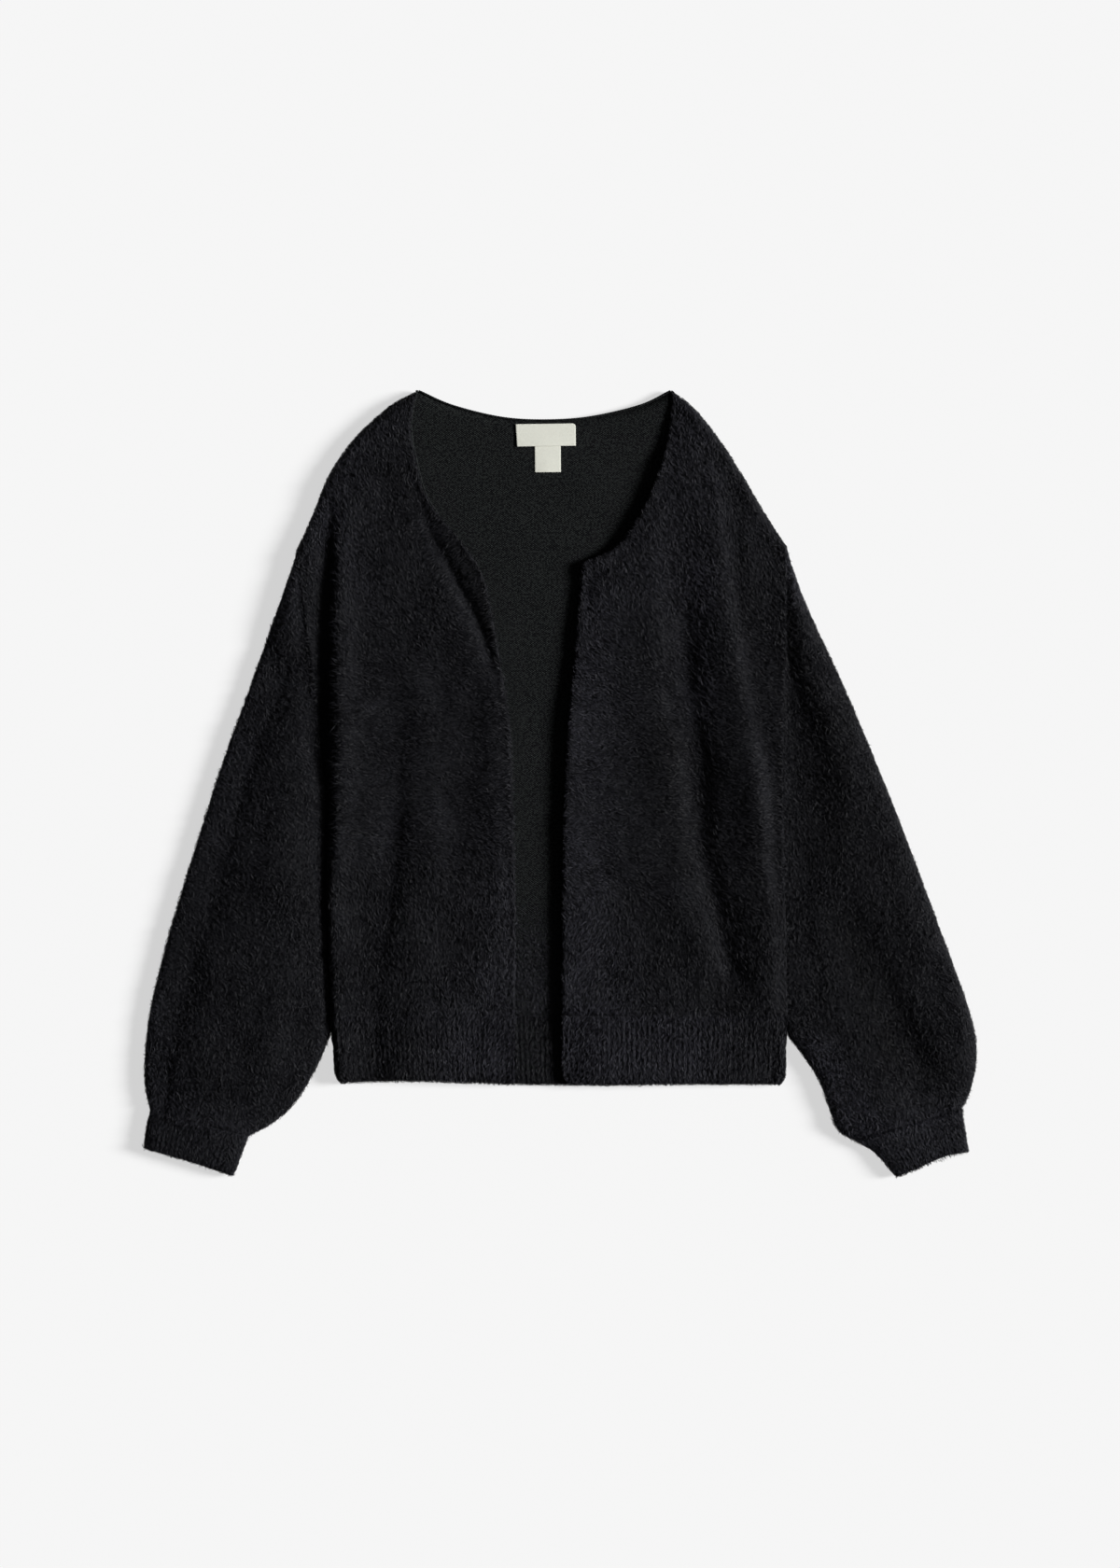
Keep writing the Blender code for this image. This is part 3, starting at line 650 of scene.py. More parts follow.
def gather(roots, tips, draw):
    """Leans the tips of neighbours together. Gives each blade's clump, and how many clumps there are."""
    cell = np.round(roots[:, :2] / CLUMP + 0.35 * np.sin(roots[:, 1::-1] / CLUMP * 2.1))
    key = (cell[:, 0] * 7919 + cell[:, 1]).astype(np.int64)  # one whole number for each cell
    _, clump, size = np.unique(key, return_inverse=True, return_counts=True)
    clump = clump.reshape(-1)
    heart = np.stack([np.bincount(clump, tips[:, k]) for k in range(3)], axis=1) / size[:, None]
    tips += (heart[clump] - tips) * draw.uniform(0, 0.14, len(tips))[:, None]
    return clump, len(size)


def lay_pile(cloth, shell, weights, border, seed, base, regions=(), spread=0.52, wander=0.35,
        lengths=(2.4, 4.2, 7.0), lean=(4, 25), edges=(), tufts=(), courses=3.2, down=0.5, seam=None,
        contrast=0.28, stray=(0.9, 1.6)):
    """A mesh of bent, pointed blades, two triangles each, on a knitted piece.

    base, regions, spread and wander set the grain. lengths, lean and stray are a blade's lengths, its angles
    off the cloth, and how far its middle and tip may reach past the border. No blade crosses the edges, and
    those by the tufts are longer. courses is how far apart the yarn's courses are, if they show. down is the
    share of blades that point along the grain, which is higher by the seam. contrast is the range of shades.
    """
    s = settings()
    draw = np.random.default_rng(seed)
    roots, up = scatter(shell, weights, s.blades_per_mm2, draw)
    count = len(roots)
    if courses:  # the yarn's lashes grow out of its courses
        row = np.round(roots[:, 1] / courses) * courses
        roots[:, 1] += (row - roots[:, 1]) * draw.uniform(0.0, 0.7, count)
    angle = grain(roots[:, :2], base, regions, wander, seed + 1)
    along = np.full(count, float(down))
    if seam is not None:
        along += (0.95 - along) * nearness(roots[:, :2], seam, 10)
    angle += np.where(draw.random(count) < along, 0, np.pi) + draw.normal(0, spread, count)
    ahead = np.stack([np.cos(angle), np.sin(angle), np.zeros(count)], axis=1)
    short, middling, long = lengths
    reach = np.where(draw.random(count) < SHORT_SHARE, draw.uniform(short, middling, count),
        draw.uniform(middling, long, count))
    reach *= 1 + 0.16 * waves(roots, 9, 40, seed + 5)
    for line in tufts:
        reach *= 1 + 0.5 * nearness(roots[:, :2], line, 7)
    for line in edges:
        near = nearest(roots[:, :2], line)[0]
        further = nearest((roots + ahead * 1.5)[:, :2], line)[0]
        guarded = near < GUARD
        ahead[guarded & (further < near)] *= -1  # away from the edge
        reach *= np.where(guarded, 0.55 + 0.45 * near / GUARD, 1)
    ahead = unit(ahead - up * (ahead * up).sum(1)[:, None] + up * 1e-3)
    rise = np.radians(draw.uniform(*lean, count))[:, None]
    sink = np.radians(draw.uniform(-16, 12, count))[:, None]  # past its bend a blade may lie down again
    middle = roots + (ahead * np.cos(rise) + up * np.sin(rise)) * (reach * TO_BEND)[:, None]
    tip = middle + (ahead * np.cos(sink) + up * np.sin(sink)) * (reach * PAST_BEND)[:, None]
    clump, clumps = gather(roots, tip, draw)
    shade = 0.44 + contrast * (draw.random(clumps)[clump] * 0.15 + draw.random(count) * 0.85 - 0.5)
    node = cloth.name.removesuffix("_knit")
    # the shades take this piece's painted light and shade, and its courses
    shade = painted_light_and_courses(shade, roots, node, courses, seed)
    for part, most in zip((middle, tip), stray):
        bring_back(part, border, most, draw)
    roll = np.radians(draw.normal(0, 25, count))[:, None]  # turn of its width about its own length
    across = unit(np.cross(ahead, up))
    across = across * np.cos(roll) + up * np.sin(roll)
    half = across * (s.blade_width / MM * draw.uniform(0.65, 1.25, count) / 2)[:, None]
    points = np.stack([roots - up * 0.4, middle - half, middle + half, tip], axis=1)
    points[..., 2] = np.maximum(points[..., 2], FLOOR_GAP)
    first = np.arange(count) * 4
    faces = np.stack([first, first + 2, first + 1, first + 1, first + 2, first + 3], axis=1).reshape(-1, 3)
    pile = add_mesh(f"{node}_pile", points.reshape(-1, 3), faces, finish_of("eyelash_pile"),
        blade_map(shade), flat=True)
    return pile


# ----- Finishes -----


VECTOR_IN = ("Vector", "NodeSocketVector", (0, 0, 0))


def add_node(tree, kind, inputs=None, **values):
    """A node with these attributes, each of these inputs wired to a socket or set to a value."""
    node = tree.nodes.new(kind)
    for key, value in values.items():
        setattr(node, key, value)
    for key, value in (inputs or {}).items():
        if isinstance(value, bpy.types.NodeSocket):
            tree.links.new(value, node.inputs[key])
        else:
            node.inputs[key].default_value = value
    return node


def add_math(tree, operation, *inputs):
    """The value of a maths node."""
    return add_node(tree, "ShaderNodeMath", dict(enumerate(inputs)), operation=operation).outputs[0]


def blend(tree, factor, first, second):
    """A mix of two values."""
    return add_node(tree, "ShaderNodeMix", {0: factor, 2: first, 3: second}).outputs[0]


def noise(tree, vector, scale, detail=2.0):
    """The outputs of a noise texture."""
    node = add_node(tree, "ShaderNodeTexNoise", {"Vector": vector, "Scale": scale, "Detail": detail})
    return node.outputs


def shader_group(name, sockets_in, output, fill):
    """The node group of this name, made when first asked for. Each socket is its name, type and default, and
    fill makes the nodes and gives the value that goes out."""
    if name not in bpy.data.node_groups:
        group = bpy.data.node_groups.new(name, "ShaderNodeTree")
        for label, kind, value in sockets_in:
            group.interface.new_socket(label, in_out="INPUT", socket_type=kind).default_value = value
        group.interface.new_socket(output, in_out="OUTPUT", socket_type="NodeSocketFloat")
        start = group.nodes.new("NodeGroupInput").outputs
        add_node(group, "NodeGroupOutput", {output: fill(group, start)})
    return bpy.data.node_groups[name]


def yarn_variation():
    """Slow unevenness of a dyed yarn and short flecks of single fibres, as one factor."""

    def fill(group, start):
        slow = noise(group, start["Vector"], 22, 3)["Fac"]
        fine = noise(group, start["Vector"], 640)["Fac"]
        return blend(group, start["Flecks"], slow, fine)

    return shader_group("yarn_variation", (VECTOR_IN, ("Flecks", "NodeSocketFloat", 0.4)), "Factor", fill)


def purl_courses():
    """Height of the knit's wrong side: short bumps in staggered courses."""

    def fill(group, start):
        wander = noise(group, start["Vector"], 160)["Color"]
        moved = {0: wander, 1: (0.0014, 0.0014, 0), 2: start["Vector"]}
        shift = add_node(group, "ShaderNodeVectorMath", moved, operation="MULTIPLY_ADD")
        place = add_node(group, "ShaderNodeSeparateXYZ", {0: shift.outputs[0]}).outputs
        sines = []
        for axis, rate in (("X", "Bumps per metre"), ("Y", "Courses per metre")):
            turns = add_math(group, "MULTIPLY", place[axis], start[rate])
            sines.append(add_math(group, "SINE", add_math(group, "MULTIPLY", turns, 2 * math.pi)))
        half = add_math(group, "MULTIPLY_ADD", add_math(group, "MULTIPLY", *sines), 0.5, 0.5)
        fibres = noise(group, start["Vector"], 1400)["Fac"]
        return blend(group, start["Unevenness"], half, fibres)

    sockets_in = (VECTOR_IN, ("Bumps per metre", "NodeSocketFloat", 420.0),
        ("Courses per metre", "NodeSocketFloat", 620.0), ("Unevenness", "NodeSocketFloat", 0.35))
    return shader_group("purl_courses", sockets_in, "Height", fill)


def plain_finish(name, roughness, specular):
    """A material with only its shader and output."""
    made = bpy.data.materials.new(name)
    made.use_nodes = True
    tree = made.node_tree
    tree.nodes.clear()
    values = {"Roughness": roughness, "Specular IOR Level": specular}
    shader = add_node(tree, "ShaderNodeBsdfPrincipled", values)
    add_node(tree, "ShaderNodeOutputMaterial", {"Surface": shader.outputs[0]})
    return made, tree, shader


def colour_ramp(tree, factor, *stops):
    """A colour that runs through these stops, each a place and a colour."""
    node = add_node(tree, "ShaderNodeValToRGB", {"Fac": factor})
    ramp = node.color_ramp.elements
    for element, (position, colour) in zip(ramp, (stops[0], stops[-1])):
        element.position, element.color = position, (*colour, 1)
    for position, colour in stops[1:-1]:
        ramp.new(position).color = (*colour, 1)
    return node.outputs["Color"]


def paint(tree, shader, first, second):
    """Sets the shader's colour to the product of two colours."""
    values = {0: 1.0, 6: first, 7: second}
    mix = add_node(tree, "ShaderNodeMix", values, data_type="RGBA", blend_type="MULTIPLY")
    tree.links.new(mix.outputs[2], shader.inputs["Base Color"])


def emboss(tree, shader, height, distance, strength):
    """Makes the shader's surface rise and fall with a height."""
    relief = add_node(tree, "ShaderNodeBump", {"Height": height, "Distance": distance, "Strength": strength})
    tree.links.new(relief.outputs[0], shader.inputs["Normal"])


def use_group(tree, group, inputs):
    """The one output of a node group, with these inputs."""
    return add_node(tree, "ShaderNodeGroup", inputs, node_tree=group).outputs[0]


def object_place(tree):
    """The place on the object, in metres."""
    return add_node(tree, "ShaderNodeTexCoord").outputs["Object"]


def times(colour, *factors):
    """A colour times one factor, or one for each channel."""
    return tuple(factor * channel for factor, channel in zip(factors * 3, colour))


def pile_finish(name, colour, tip):
    """From a root darkened with painted shade to a lighter tip, and from one shade of yarn to the next across
    its map.
    """
    _, tree, shader = plain_finish(name, 0.62, 0.14)
    place = add_node(tree, "ShaderNodeUVMap", uv_map="OFBake")
    parts = add_node(tree, "ShaderNodeSeparateXYZ", {0: place.outputs["UV"]}).outputs
    # painted shade: each blade darkens towards its root, where the blades crowd
    length = colour_ramp(tree, parts["Y"], (0, times(colour, 0.42)), (0.45, tuple(colour)), (1, tuple(tip)))
    shades = (0.42, 0.42, 0.43), (0.68, 0.68, 0.69), (1.09, 1.09, 1.1), (1.75, 1.74, 1.77), (2.8, 2.76, 2.84)
    shade = colour_ramp(tree, parts["X"], *((k / 4, colour) for k, colour in enumerate(shades)))
    paint(tree, shader, length, shade)


def knit_finish(name, colour, bump, flecks=0.35):
    """The knit ground or its smooth wrong side, with painted shade in the stitches' hollows and painted light
    on their bumps.
    """
    _, tree, shader = plain_finish(name, 0.85, 0.1)
    place = object_place(tree)
    variation = use_group(tree, yarn_variation(), {"Vector": place, "Flecks": flecks})
    stitches = use_group(tree, purl_courses(), {"Vector": place})
    dark, pale = times(colour, 0.28, 0.27, 0.33), times(colour, 1.78, 1.84, 1.74)
    tone = colour_ramp(tree, variation, (0.43, dark), (0.57, pale))
    # painted shade and light: darker in the stitches' hollows, lighter on their bumps
    hollow = colour_ramp(tree, stitches, (0.15, (0.35, 0.35, 0.35)), (0.8, (1.5, 1.5, 1.5)))
    paint(tree, shader, tone, hollow)
    emboss(tree, shader, stitches, 0.0006, bump)


def label_finish(name, colour):
    """Woven satin tape: fine crossing threads, a little uneven, with painted shade between the threads."""
    _, tree, shader = plain_finish(name, 0.55, 0.4)
    place = object_place(tree)
    waves_in = {"Scale": 700, "Distortion": 0.6, "Vector": place}
    threads = (add_node(tree, "ShaderNodeTexWave", waves_in, bands_direction=direction).outputs["Fac"]
        for direction in ("X", "Y"))
    weave = add_math(tree, "MULTIPLY", *threads)
    variation = use_group(tree, yarn_variation(), {"Vector": place, "Flecks": 0.5})
    tone = colour_ramp(tree, variation, (0.3, times(colour, 0.95)), (0.7, times(colour, 1.04)))
    # painted shade: darker between the threads
    hollow = colour_ramp(tree, weave, (0.0, (0.93, 0.93, 0.92)), (0.7, (1, 1, 1)))
    paint(tree, shader, tone, hollow)
    emboss(tree, shader, weave, 0.0001, 0.5)


def settings():
    """The scene's settings of the cloth."""
    return bpy.context.scene.eyelash_cloth


def finish_of(name):
    """One of the cloth's finishes, which are made together when the first of them is asked for."""
    s = settings()
    if name not in bpy.data.materials:
        pile_finish("eyelash_pile", s.pile_colour, s.tip_colour)
        knit_finish("knit_ground", s.ground_colour, 0.6)
        knit_finish("knit_inside", s.inside_colour, 1.0, 0.94)
        label_finish("label_tape", s.label_colour)
    return bpy.data.materials[name]


# ----- Outlines of the pieces -----


def two_runs(first, second, rows, share):
    """rows points along a line and on along the next one, the first taking this share of them."""
    lower = int(rows * share)
    return np.vstack([at(first, np.linspace(0, 1, lower, endpoint=False)), at(second, rows - lower)])


def slit(side, heights):
    """Half the width of the slit between the body's side and the sleeve beside it, at these heights."""
    body = np.vstack([smooth(HEM_SIDE[side], 6)[::-1], smooth(SIDE[side], 6)[1:]])
    fold = smooth(np.asarray(SLEEVE[side], float)[:, 2:4], 6)[::-1]
    gap = np.interp(heights, body[:, 1], body[:, 0]) - np.interp(heights, fold[:, 1], fold[:, 0])
    return np.clip(np.abs(gap) / 2, 0, 1.4) * swell(heights + 216, 22)


def widened(line, side):
    """A border of the body brought out to the middle of the slit beside it."""
    line = line.copy()
    line[:, 0] += (slit(side, line[:, 1]) - SLIT_GAP) * AWAY[side]
    return line


def body_side(side):
    """A side seam from the rib up, and the armhole above it."""
    seam = widened(smooth(SIDE[side], 6), side)
    return seam, np.array([seam[-1], SHOULDER[side][0]], float)


def free_edge(side):
    """A front's edge from the rib up, and its neckline."""
    return np.vstack([smooth(FRONT_EDGE[side], 6), smooth(NECKLINE[side], 6)[1:]])


def drawn_in(share, *stops):
    """How far a border is drawn in at each share of its length."""
    where, how_far = zip(*stops)
    return np.interp(share, where, how_far)


def patch(left, right, far_line, widths, at_left, at_right, at_end):
    """A grid of plan points between two border lines (a point a row) and under the line that joins their last
    points. widths are the columns' shares of the width, and the last three how far a border is drawn in."""
    across = np.linalg.norm(right - left, axis=1)
    near, far = at_left / across, at_right / across
    u = near[:, None] + widths[None, :] * (1 - near - far)[:, None]
    along = [run(line) / run(line)[-1] for line in (left, right)]
    share = ((along[0] + along[1]) / 2)[:, None, None]
    ruled = left[:, None] * (1 - u[..., None]) + right[:, None] * u[..., None]
    end = at(far_line, u.ravel()).reshape(*u.shape, 2)
    chord = far_line[0] * (1 - u[..., None]) + far_line[-1] * u[..., None]
    plan = ruled + share * (end - chord)
    plan[-1] += unit(plan[-2] - plan[-1]) * at_end
    return plan


def bunched(count, crowd=0.35):
    """Shares from 0 to 1, closer together at both ends."""
    t = np.linspace(0, 1, count)
    return t * (1 - crowd) + (1 - np.cos(np.pi * t)) / 2 * crowd


def over(plan, height, *more):
    """A height for each plan point of a grid."""
    return height(plan.reshape(-1, 2), *more).reshape(plan.shape[:2])


def loop_area(*lines):
    """Area inside the closed line that these make, in square metres."""
    x, y = np.vstack(lines).T
    return abs((x * np.roll(y, -1) - np.roll(x, -1) * y).sum()) / 2 * MM * MM


# ----- Fronts -----


# Width of the roll at the body's side, and the height of the knit there
SIDE_ROLL = {"right": (4.0, SIDE_LOW), "left": (4.0, 9.8)}
SHOULDER_ROLL = 5.5


def at_side(points, full, line, side):
    """Height of a body piece by its side: the side of the body is rolled, and free below the sleeve."""
    reach, low = SIDE_ROLL[side]
    beside = np.interp(points[:, 1], (-224, -198), (0, 1))
    reach = ROLL + (reach - ROLL) * beside
    low = SIDE_LOW + (low - SIDE_LOW) * beside
    return low + (full - low) * swell(nearest(points, line)[0], reach)


def front_height(points, side):
    """Height of a front's knit, under its pile."""
    shoulder = nearest(points, smooth(SHOULDER[side], 6))[0]
    full = FRONT_TOP - PILE_BED + drape(points, FRONT_FOLDS[side]) + 0.2 * waves(points, 22, 80, 3)
    low = BACK_INSIDE + 0.4
    full = at_side(points, np.maximum(full, low + 1.2), widened(smooth(SIDE[side], 6), side), side)
    return low + (full - low) * swell(shoulder - 0.6, SHOULDER_ROLL)


def under_front(top):
    """Height of the underside of a front or its rib, which stays over the back."""
    return np.minimum(np.maximum(top - GROUND, BACK_INSIDE + 0.25), top - 0.15)


def front_shell(side):
    """A front's knit, from its rib to its shoulder."""
    outer = two_runs(*body_side(side), FRONT_ROWS, SIDE_SHARE)
    inner = two_runs(smooth(FRONT_EDGE[side]), smooth(NECKLINE[side]), FRONT_ROWS, EDGE_SHARE)
    share = np.linspace(0, 1, FRONT_ROWS)
    at_flank = drawn_in(share, (0, 0), (0.44, 0), (0.5, -0.4), (0.97, -0.4), (1, 0.8))
    at_edge = np.full(FRONT_ROWS, EDGE_INSET[side])
    shoulder = smooth(SHOULDER[side])
    columns = bunched(FRONT_COLUMNS)
    if side == "right":
        plan = patch(outer, inner, shoulder, columns, at_flank, at_edge, END_INSET)
    else:
        plan = patch(inner, outer, shoulder[::-1], columns, at_edge, at_flank, END_INSET)
    top = over(plan, front_height, side)
    return sheet_shell(plan, top, under_front(top))


def outwards(line, side, reach):
    """A line of the body's side or a sleeve's inner fold, moved over the piece beside it, where one is."""
    moved = line.copy()
    moved[:, 0] += reach * np.interp(line[:, 1], (-212, -198), (0, 1)) * AWAY[side]
    return moved


def front_outline(side):
    """The front's closed outline with its rib, past which no pile reaches."""
    tip = outwards(np.array(SHOULDER[side][:1], float), side, 6)
    flank = outwards(smooth(SIDE[side], 4), side, 8)
    hem_flank = outwards(smooth(HEM_SIDE[side], 4)[::-1], side, 8)
    hem = smooth(HEM_LINE[side], 4)[:: AWAY[side]]
    return np.vstack([flank, tip, smooth(SHOULDER[side], 4), free_edge(side)[::-1],
        smooth(HEM_EDGE[side], 4), hem, hem_flank])


# Where the fronts' pile is longer, and its grain as grain() takes it
TROUGH = ((118, 180), (118, 100), (124, 17), (127, -40), (136, -97), (150, -150))
GROOVE = ((-186, 226), (-186, 120), (-188, 20), (-193, -60))
FRONT_BASE = {
    "right": ((-200, -84), (-120, -84), (-80, -62), (-45, -12), (75, -8), (115, -42), (160, -60), (330, -76)),
    "left": ((-200, -80), (-125, -76), (-88, -30), (-40, -10), (40, -10), (85, -26), (160, -62), (330, -66)),
}
FRONT_GRAIN = {
    "right": ((30, 18, ((-110, 215), (-60, 130))),),
    "left": ((66, 26, ((22, -196), (30, -120))), (-48, 12, TROUGH)),
}


class CARDIGAN_OT_fronts(bpy.types.Operator):
    """Lays the two fronts, with their pile and edge rolls"""

    bl_idname = "cardigan.fronts"
    bl_label = "Fronts"

    def execute(self, context):
        for side, seed in (("right", 11), ("left", 23)):
            shell = front_shell(side)
            cloth = add_cloth(f"{side}_front", shell, finish_of("knit_ground"))
            middle = centres(shell)
            rolled = distance(middle, smooth(SIDE[side], 4), smooth(SHOULDER[side], 4)) < 4
            # denser over the seam with the rib and round the rolled rim
            weights = shell.top * (1.0 + 0.5 * (middle[:, 1] < -187)) + shell.rim * rolled * 1.5
            edge = free_edge(side)
            tufts = (TROUGH,) if side == "left" else (GROOVE,)
            pile = lay_pile(cloth, shell, weights, base=FRONT_BASE[side], regions=FRONT_GRAIN[side],
                spread=0.42, wander=0.26, border=front_outline(side), tufts=tufts, seed=seed,
                seam=(SIDE[side][0], FRONT_EDGE[side][0]))
            # the neckline's upper part shows its rolled edge
            inward = unit(np.gradient(edge, axis=0) @ np.array([[0, 1], [-1, 0]]))
            if (inward[0, 0] < 0) != (side == "right"):
                inward = -inward
            line = (edge + inward * 1.0)[edge[:, 1] > 226]
            height = front_height(line, side) - 1.0
            roll = edge_roll(f"{side}_front_edge", np.column_stack([line, height]), 0.95)
            loop_area(smooth(SIDE[side]), smooth(SHOULDER[side]), edge[::-1])
        return {"FINISHED"}


# ----- Back -----


def back_plan(right, far_line, left):
    """A grid of plan points between the back's two sides and its far line, and the border round it."""
    along = run(far_line) / run(far_line)[-1]
    corners = (BACK_NECK[0], BACK_NECK[-1])
    turns = [along[np.argmin(np.hypot(*(far_line - corner).T))] for corner in corners]
    shares = np.concatenate([np.linspace(0, turns[0], 22, endpoint=False),
        np.linspace(*turns, 44, endpoint=False), np.linspace(turns[1], 1, 23)])
    end = at(far_line, shares)
    widths = (end[:, 0] - end[0, 0]) / (end[-1, 0] - end[0, 0])
    share = ((run(right) / run(right)[-1] + run(left) / run(left)[-1]) / 2)[:, None, None]
    ruled = right[:, None] * (1 - widths[:, None]) + left[:, None] * widths[:, None]
    chord = end[0] * (1 - widths[:, None]) + end[-1] * widths[:, None]
    plan = ruled + share * (end - chord)[None]
    border = np.vstack([right, far_line, left[::-1]])
    middle = np.array([-5.0, 60.0])
    flat = plan.reshape(-1, 2)
    near = distance(flat, border)
    seams = distance(flat, *(body_side(side)[1] for side in SIDES))
    flanks = distance(flat, *(body_side(side)[0] for side in SIDES))
    how_far = np.where(seams < 6, -0.5, np.where(flanks < 6, 0.0, 0.8))
    drawn = np.clip(1 - near / 6, 0, 1)[:, None] * how_far[:, None]
    flat += unit(middle - flat) * drawn
    return flat.reshape(plan.shape), border


class CARDIGAN_OT_back(bpy.types.Operator):
    """Lays the back, inside up, with the pile that shows round it"""

    bl_idname = "cardigan.back"
    bl_label = "Back"

    def execute(self, context):
        right, left = (two_runs(*body_side(side), BACK_ROWS, SIDE_SHARE) for side in SIDES)
        far_line = np.vstack([smooth(SHOULDER["right"]), smooth(BACK_NECK)[1:],
            smooth(SHOULDER["left"])[::-1][1:]])
        plan, border = back_plan(right, far_line, left)
        neck = smooth(BACK_NECK)

        def inside_height(points):
            rounded = 1.4 * (1 - swell(nearest(points, border)[0], 2.4))
            return BACK_INSIDE + 0.12 * waves(points, 25, 90, 8) - rounded

        top = over(plan, inside_height)
        shell = sheet_shell(plan, top, np.full_like(top, BACK_UNDER))
        cloth = add_cloth("back_panel", shell, finish_of("knit_inside"))
        centre = centres(shell)
        # sparse underneath, none along the neck, and more and more of it down the opening
        weights = shell.under * 0.09 + shell.rim * np.where(nearest(centre, neck)[0] < 3, 0.0, 2.2)
        opening = (centre[:, 0] > -46) & (centre[:, 0] < 8)
        weights += shell.top * opening * np.interp(centre[:, 1], (-165, -150, -125, -95), (1.3, 1.1, 0.5, 0))
        pile = lay_pile(cloth, shell, weights, base=((-200, -86), (-110, -60), (-60, 0)),
            lengths=(2.4, 4.0, 6.0), lean=(2, 20), edges=(neck,),
            border=np.where(border[:, 1:] < -190, border - (0, 6), border), seed=31, seam=(right[0], left[0]))
        line = neck + np.array([0.0, -0.3])
        height = np.full(len(line), BACK_INSIDE - 0.5)
        roll = edge_roll("back_neck_edge", np.column_stack([line, height]), 1.0)
        loop_area(right, far_line, left[::-1])
        return {"FINISHED"}


# ----- Ribs of the hem -----


def ribbed(share, ribs):
    """From -1 in a hollow to 1 on a rib."""
    return np.cos(2 * np.pi * share * ribs)


def hem_height(points, side):
    """Height of a front's rib between its ribs' crests and hollows."""
    full = HEM_TOP - PILE_BED + drape(points, FRONT_FOLDS[side]) + 0.2 * waves(points, 22, 80, 5)
    full -= 0.9 * (1 - swell(nearest(points, smooth(HEM_LINE[side], 6))[0], 4.0))
    full += (FRONT_TOP - HEM_TOP) * np.exp(-(((points[:, 1] + 194) / 10) ** 2))
    return at_side(points, full, widened(smooth(HEM_SIDE[side], 6), side), side)


def lay_front_rib(side, seed):
    """The rib of a front, with its pile."""
    rows = HEM_ROWS
    flank = at(widened(smooth(HEM_SIDE[side]), side), rows)
    edge = at(smooth(HEM_EDGE[side]), rows)
    left, right = (flank, edge) if side == "right" else (edge, flank)
    ribs = round(np.linalg.norm(left[0] - right[0]) / RIB_PITCH)
    widths = np.linspace(0, 1, ribs * 6 + 1)
    share = np.linspace(0, 1, rows)
    at_flank = drawn_in(share, (0, 0), (0.3, 0.9), (1, 1.6))
    at_edge = np.full(rows, EDGE_INSET[side])
    sides = (at_flank, at_edge) if side == "right" else (at_edge, at_flank)
    end = smooth(HEM_LINE[side])
    plan = patch(left, right, end, widths, *sides, HEM_INSET)
    crest = np.tile(ribbed(widths, ribs), (rows, 1))
    plan[-1, :, 1] -= 0.4 * crest[-1]
    plan[0, :, 1] += 0.6
    top = over(plan, hem_height, side) + 0.22 * crest * np.minimum(share * 6 + 0.3, 1)[:, None]
    shell = sheet_shell(plan, top, under_front(top))
    cloth = add_cloth(f"{side}_front_hem", shell, finish_of("knit_ground"))
    centre = centres(shell)
    flank_line = widened(smooth(HEM_SIDE[side], 6), side)
    bare = (distance(centre, flank_line) >= 4) & (distance(centre, end) >= 2.2)
    weights = shell.top * (1.15 + 0.5 * (centre[:, 1] > -200)) + shell.rim * ~bare * 1.5
    pile = lay_pile(cloth, shell, weights, base=-86 if side == "right" else -90,
        regions=((66, 16, ((20, -200), (34, -250))), (66, 20, ((-60, -200), (-48, -250)))),
        spread=0.34, wander=0.16, border=front_outline(side), seed=seed, courses=0, down=0.72)
    loop_area(left, end, right[::-1])


def lay_back_rib():
    """The rib of the back, with the pile that shows round it and in the opening."""
    rows = HEM_ROWS
    right, left = (at(widened(smooth(HEM_SIDE[side]), side), rows) for side in SIDES)
    ribs = round(np.linalg.norm(left[0] - right[0]) / RIB_PITCH)
    widths = np.linspace(0, 1, ribs * 4 + 1)
    end = smooth(HEM_LINE["back"])
    plan = patch(right, left, end, widths, np.full(rows, 0.5), np.full(rows, 0.5), HEM_INSET)
    plan[0, :, 1] += 0.6
    crest = np.tile(ribbed(widths, ribs), (rows, 1))
    border = np.vstack([right, end, left[::-1]])

    def inside_height(points):
        return BACK_INSIDE - 0.5 - 1.2 * (1 - swell(nearest(points, border)[0], 2.4))

    top = over(plan, inside_height) + 0.25 * crest
    shell = sheet_shell(plan, top, np.full_like(top, BACK_UNDER))
    cloth = add_cloth("back_hem", shell, finish_of("knit_inside"))
    centre = centres(shell)
    opening = (centre[:, 0] > -52) & (centre[:, 0] < 14)
    seam = centre[:, 1] > -196
    weights = shell.top * opening * 1.1 + shell.under * 0.18 + shell.rim * ~seam * 1.6
    pile = lay_pile(cloth, shell, weights, base=-90, spread=0.4, wander=0.2, lengths=(2.2, 3.8, 5.6),
        lean=(3, 22), border=np.where(border[:, 1:] > -196, border + (0, 5), border), seed=47, courses=0,
        down=0.7)
    loop_area(border)


class CARDIGAN_OT_hems(bpy.types.Operator):
    """Lays the ribs of the back and of both fronts"""

    bl_idname = "cardigan.hems"
    bl_label = "Hem ribs"

    def execute(self, context):
        lay_front_rib("right", 41)
        lay_front_rib("left", 43)
        lay_back_rib()
        return {"FINISHED"}


# ----- Sleeves and cuffs -----


def sections_of(body_line, far_line, count, start, seam):
    """Ends of the sections of a tube on its two sides, from start on, drawn back by seam at the last one."""
    share = start + (1 - start) * np.linspace(0, 1, count)
    inner, outer = at(body_line, share), at(far_line, share)
    span = outer[-1] - inner[-1]
    normal = np.array([-span[1], span[0]]) / np.linalg.norm(span)
    if normal @ (outer[-2] + inner[-2] - outer[-1] - inner[-1]) < 0:
        normal = -normal
    outer[-1] += normal * seam
    inner[-1] += normal * seam
    return inner, outer


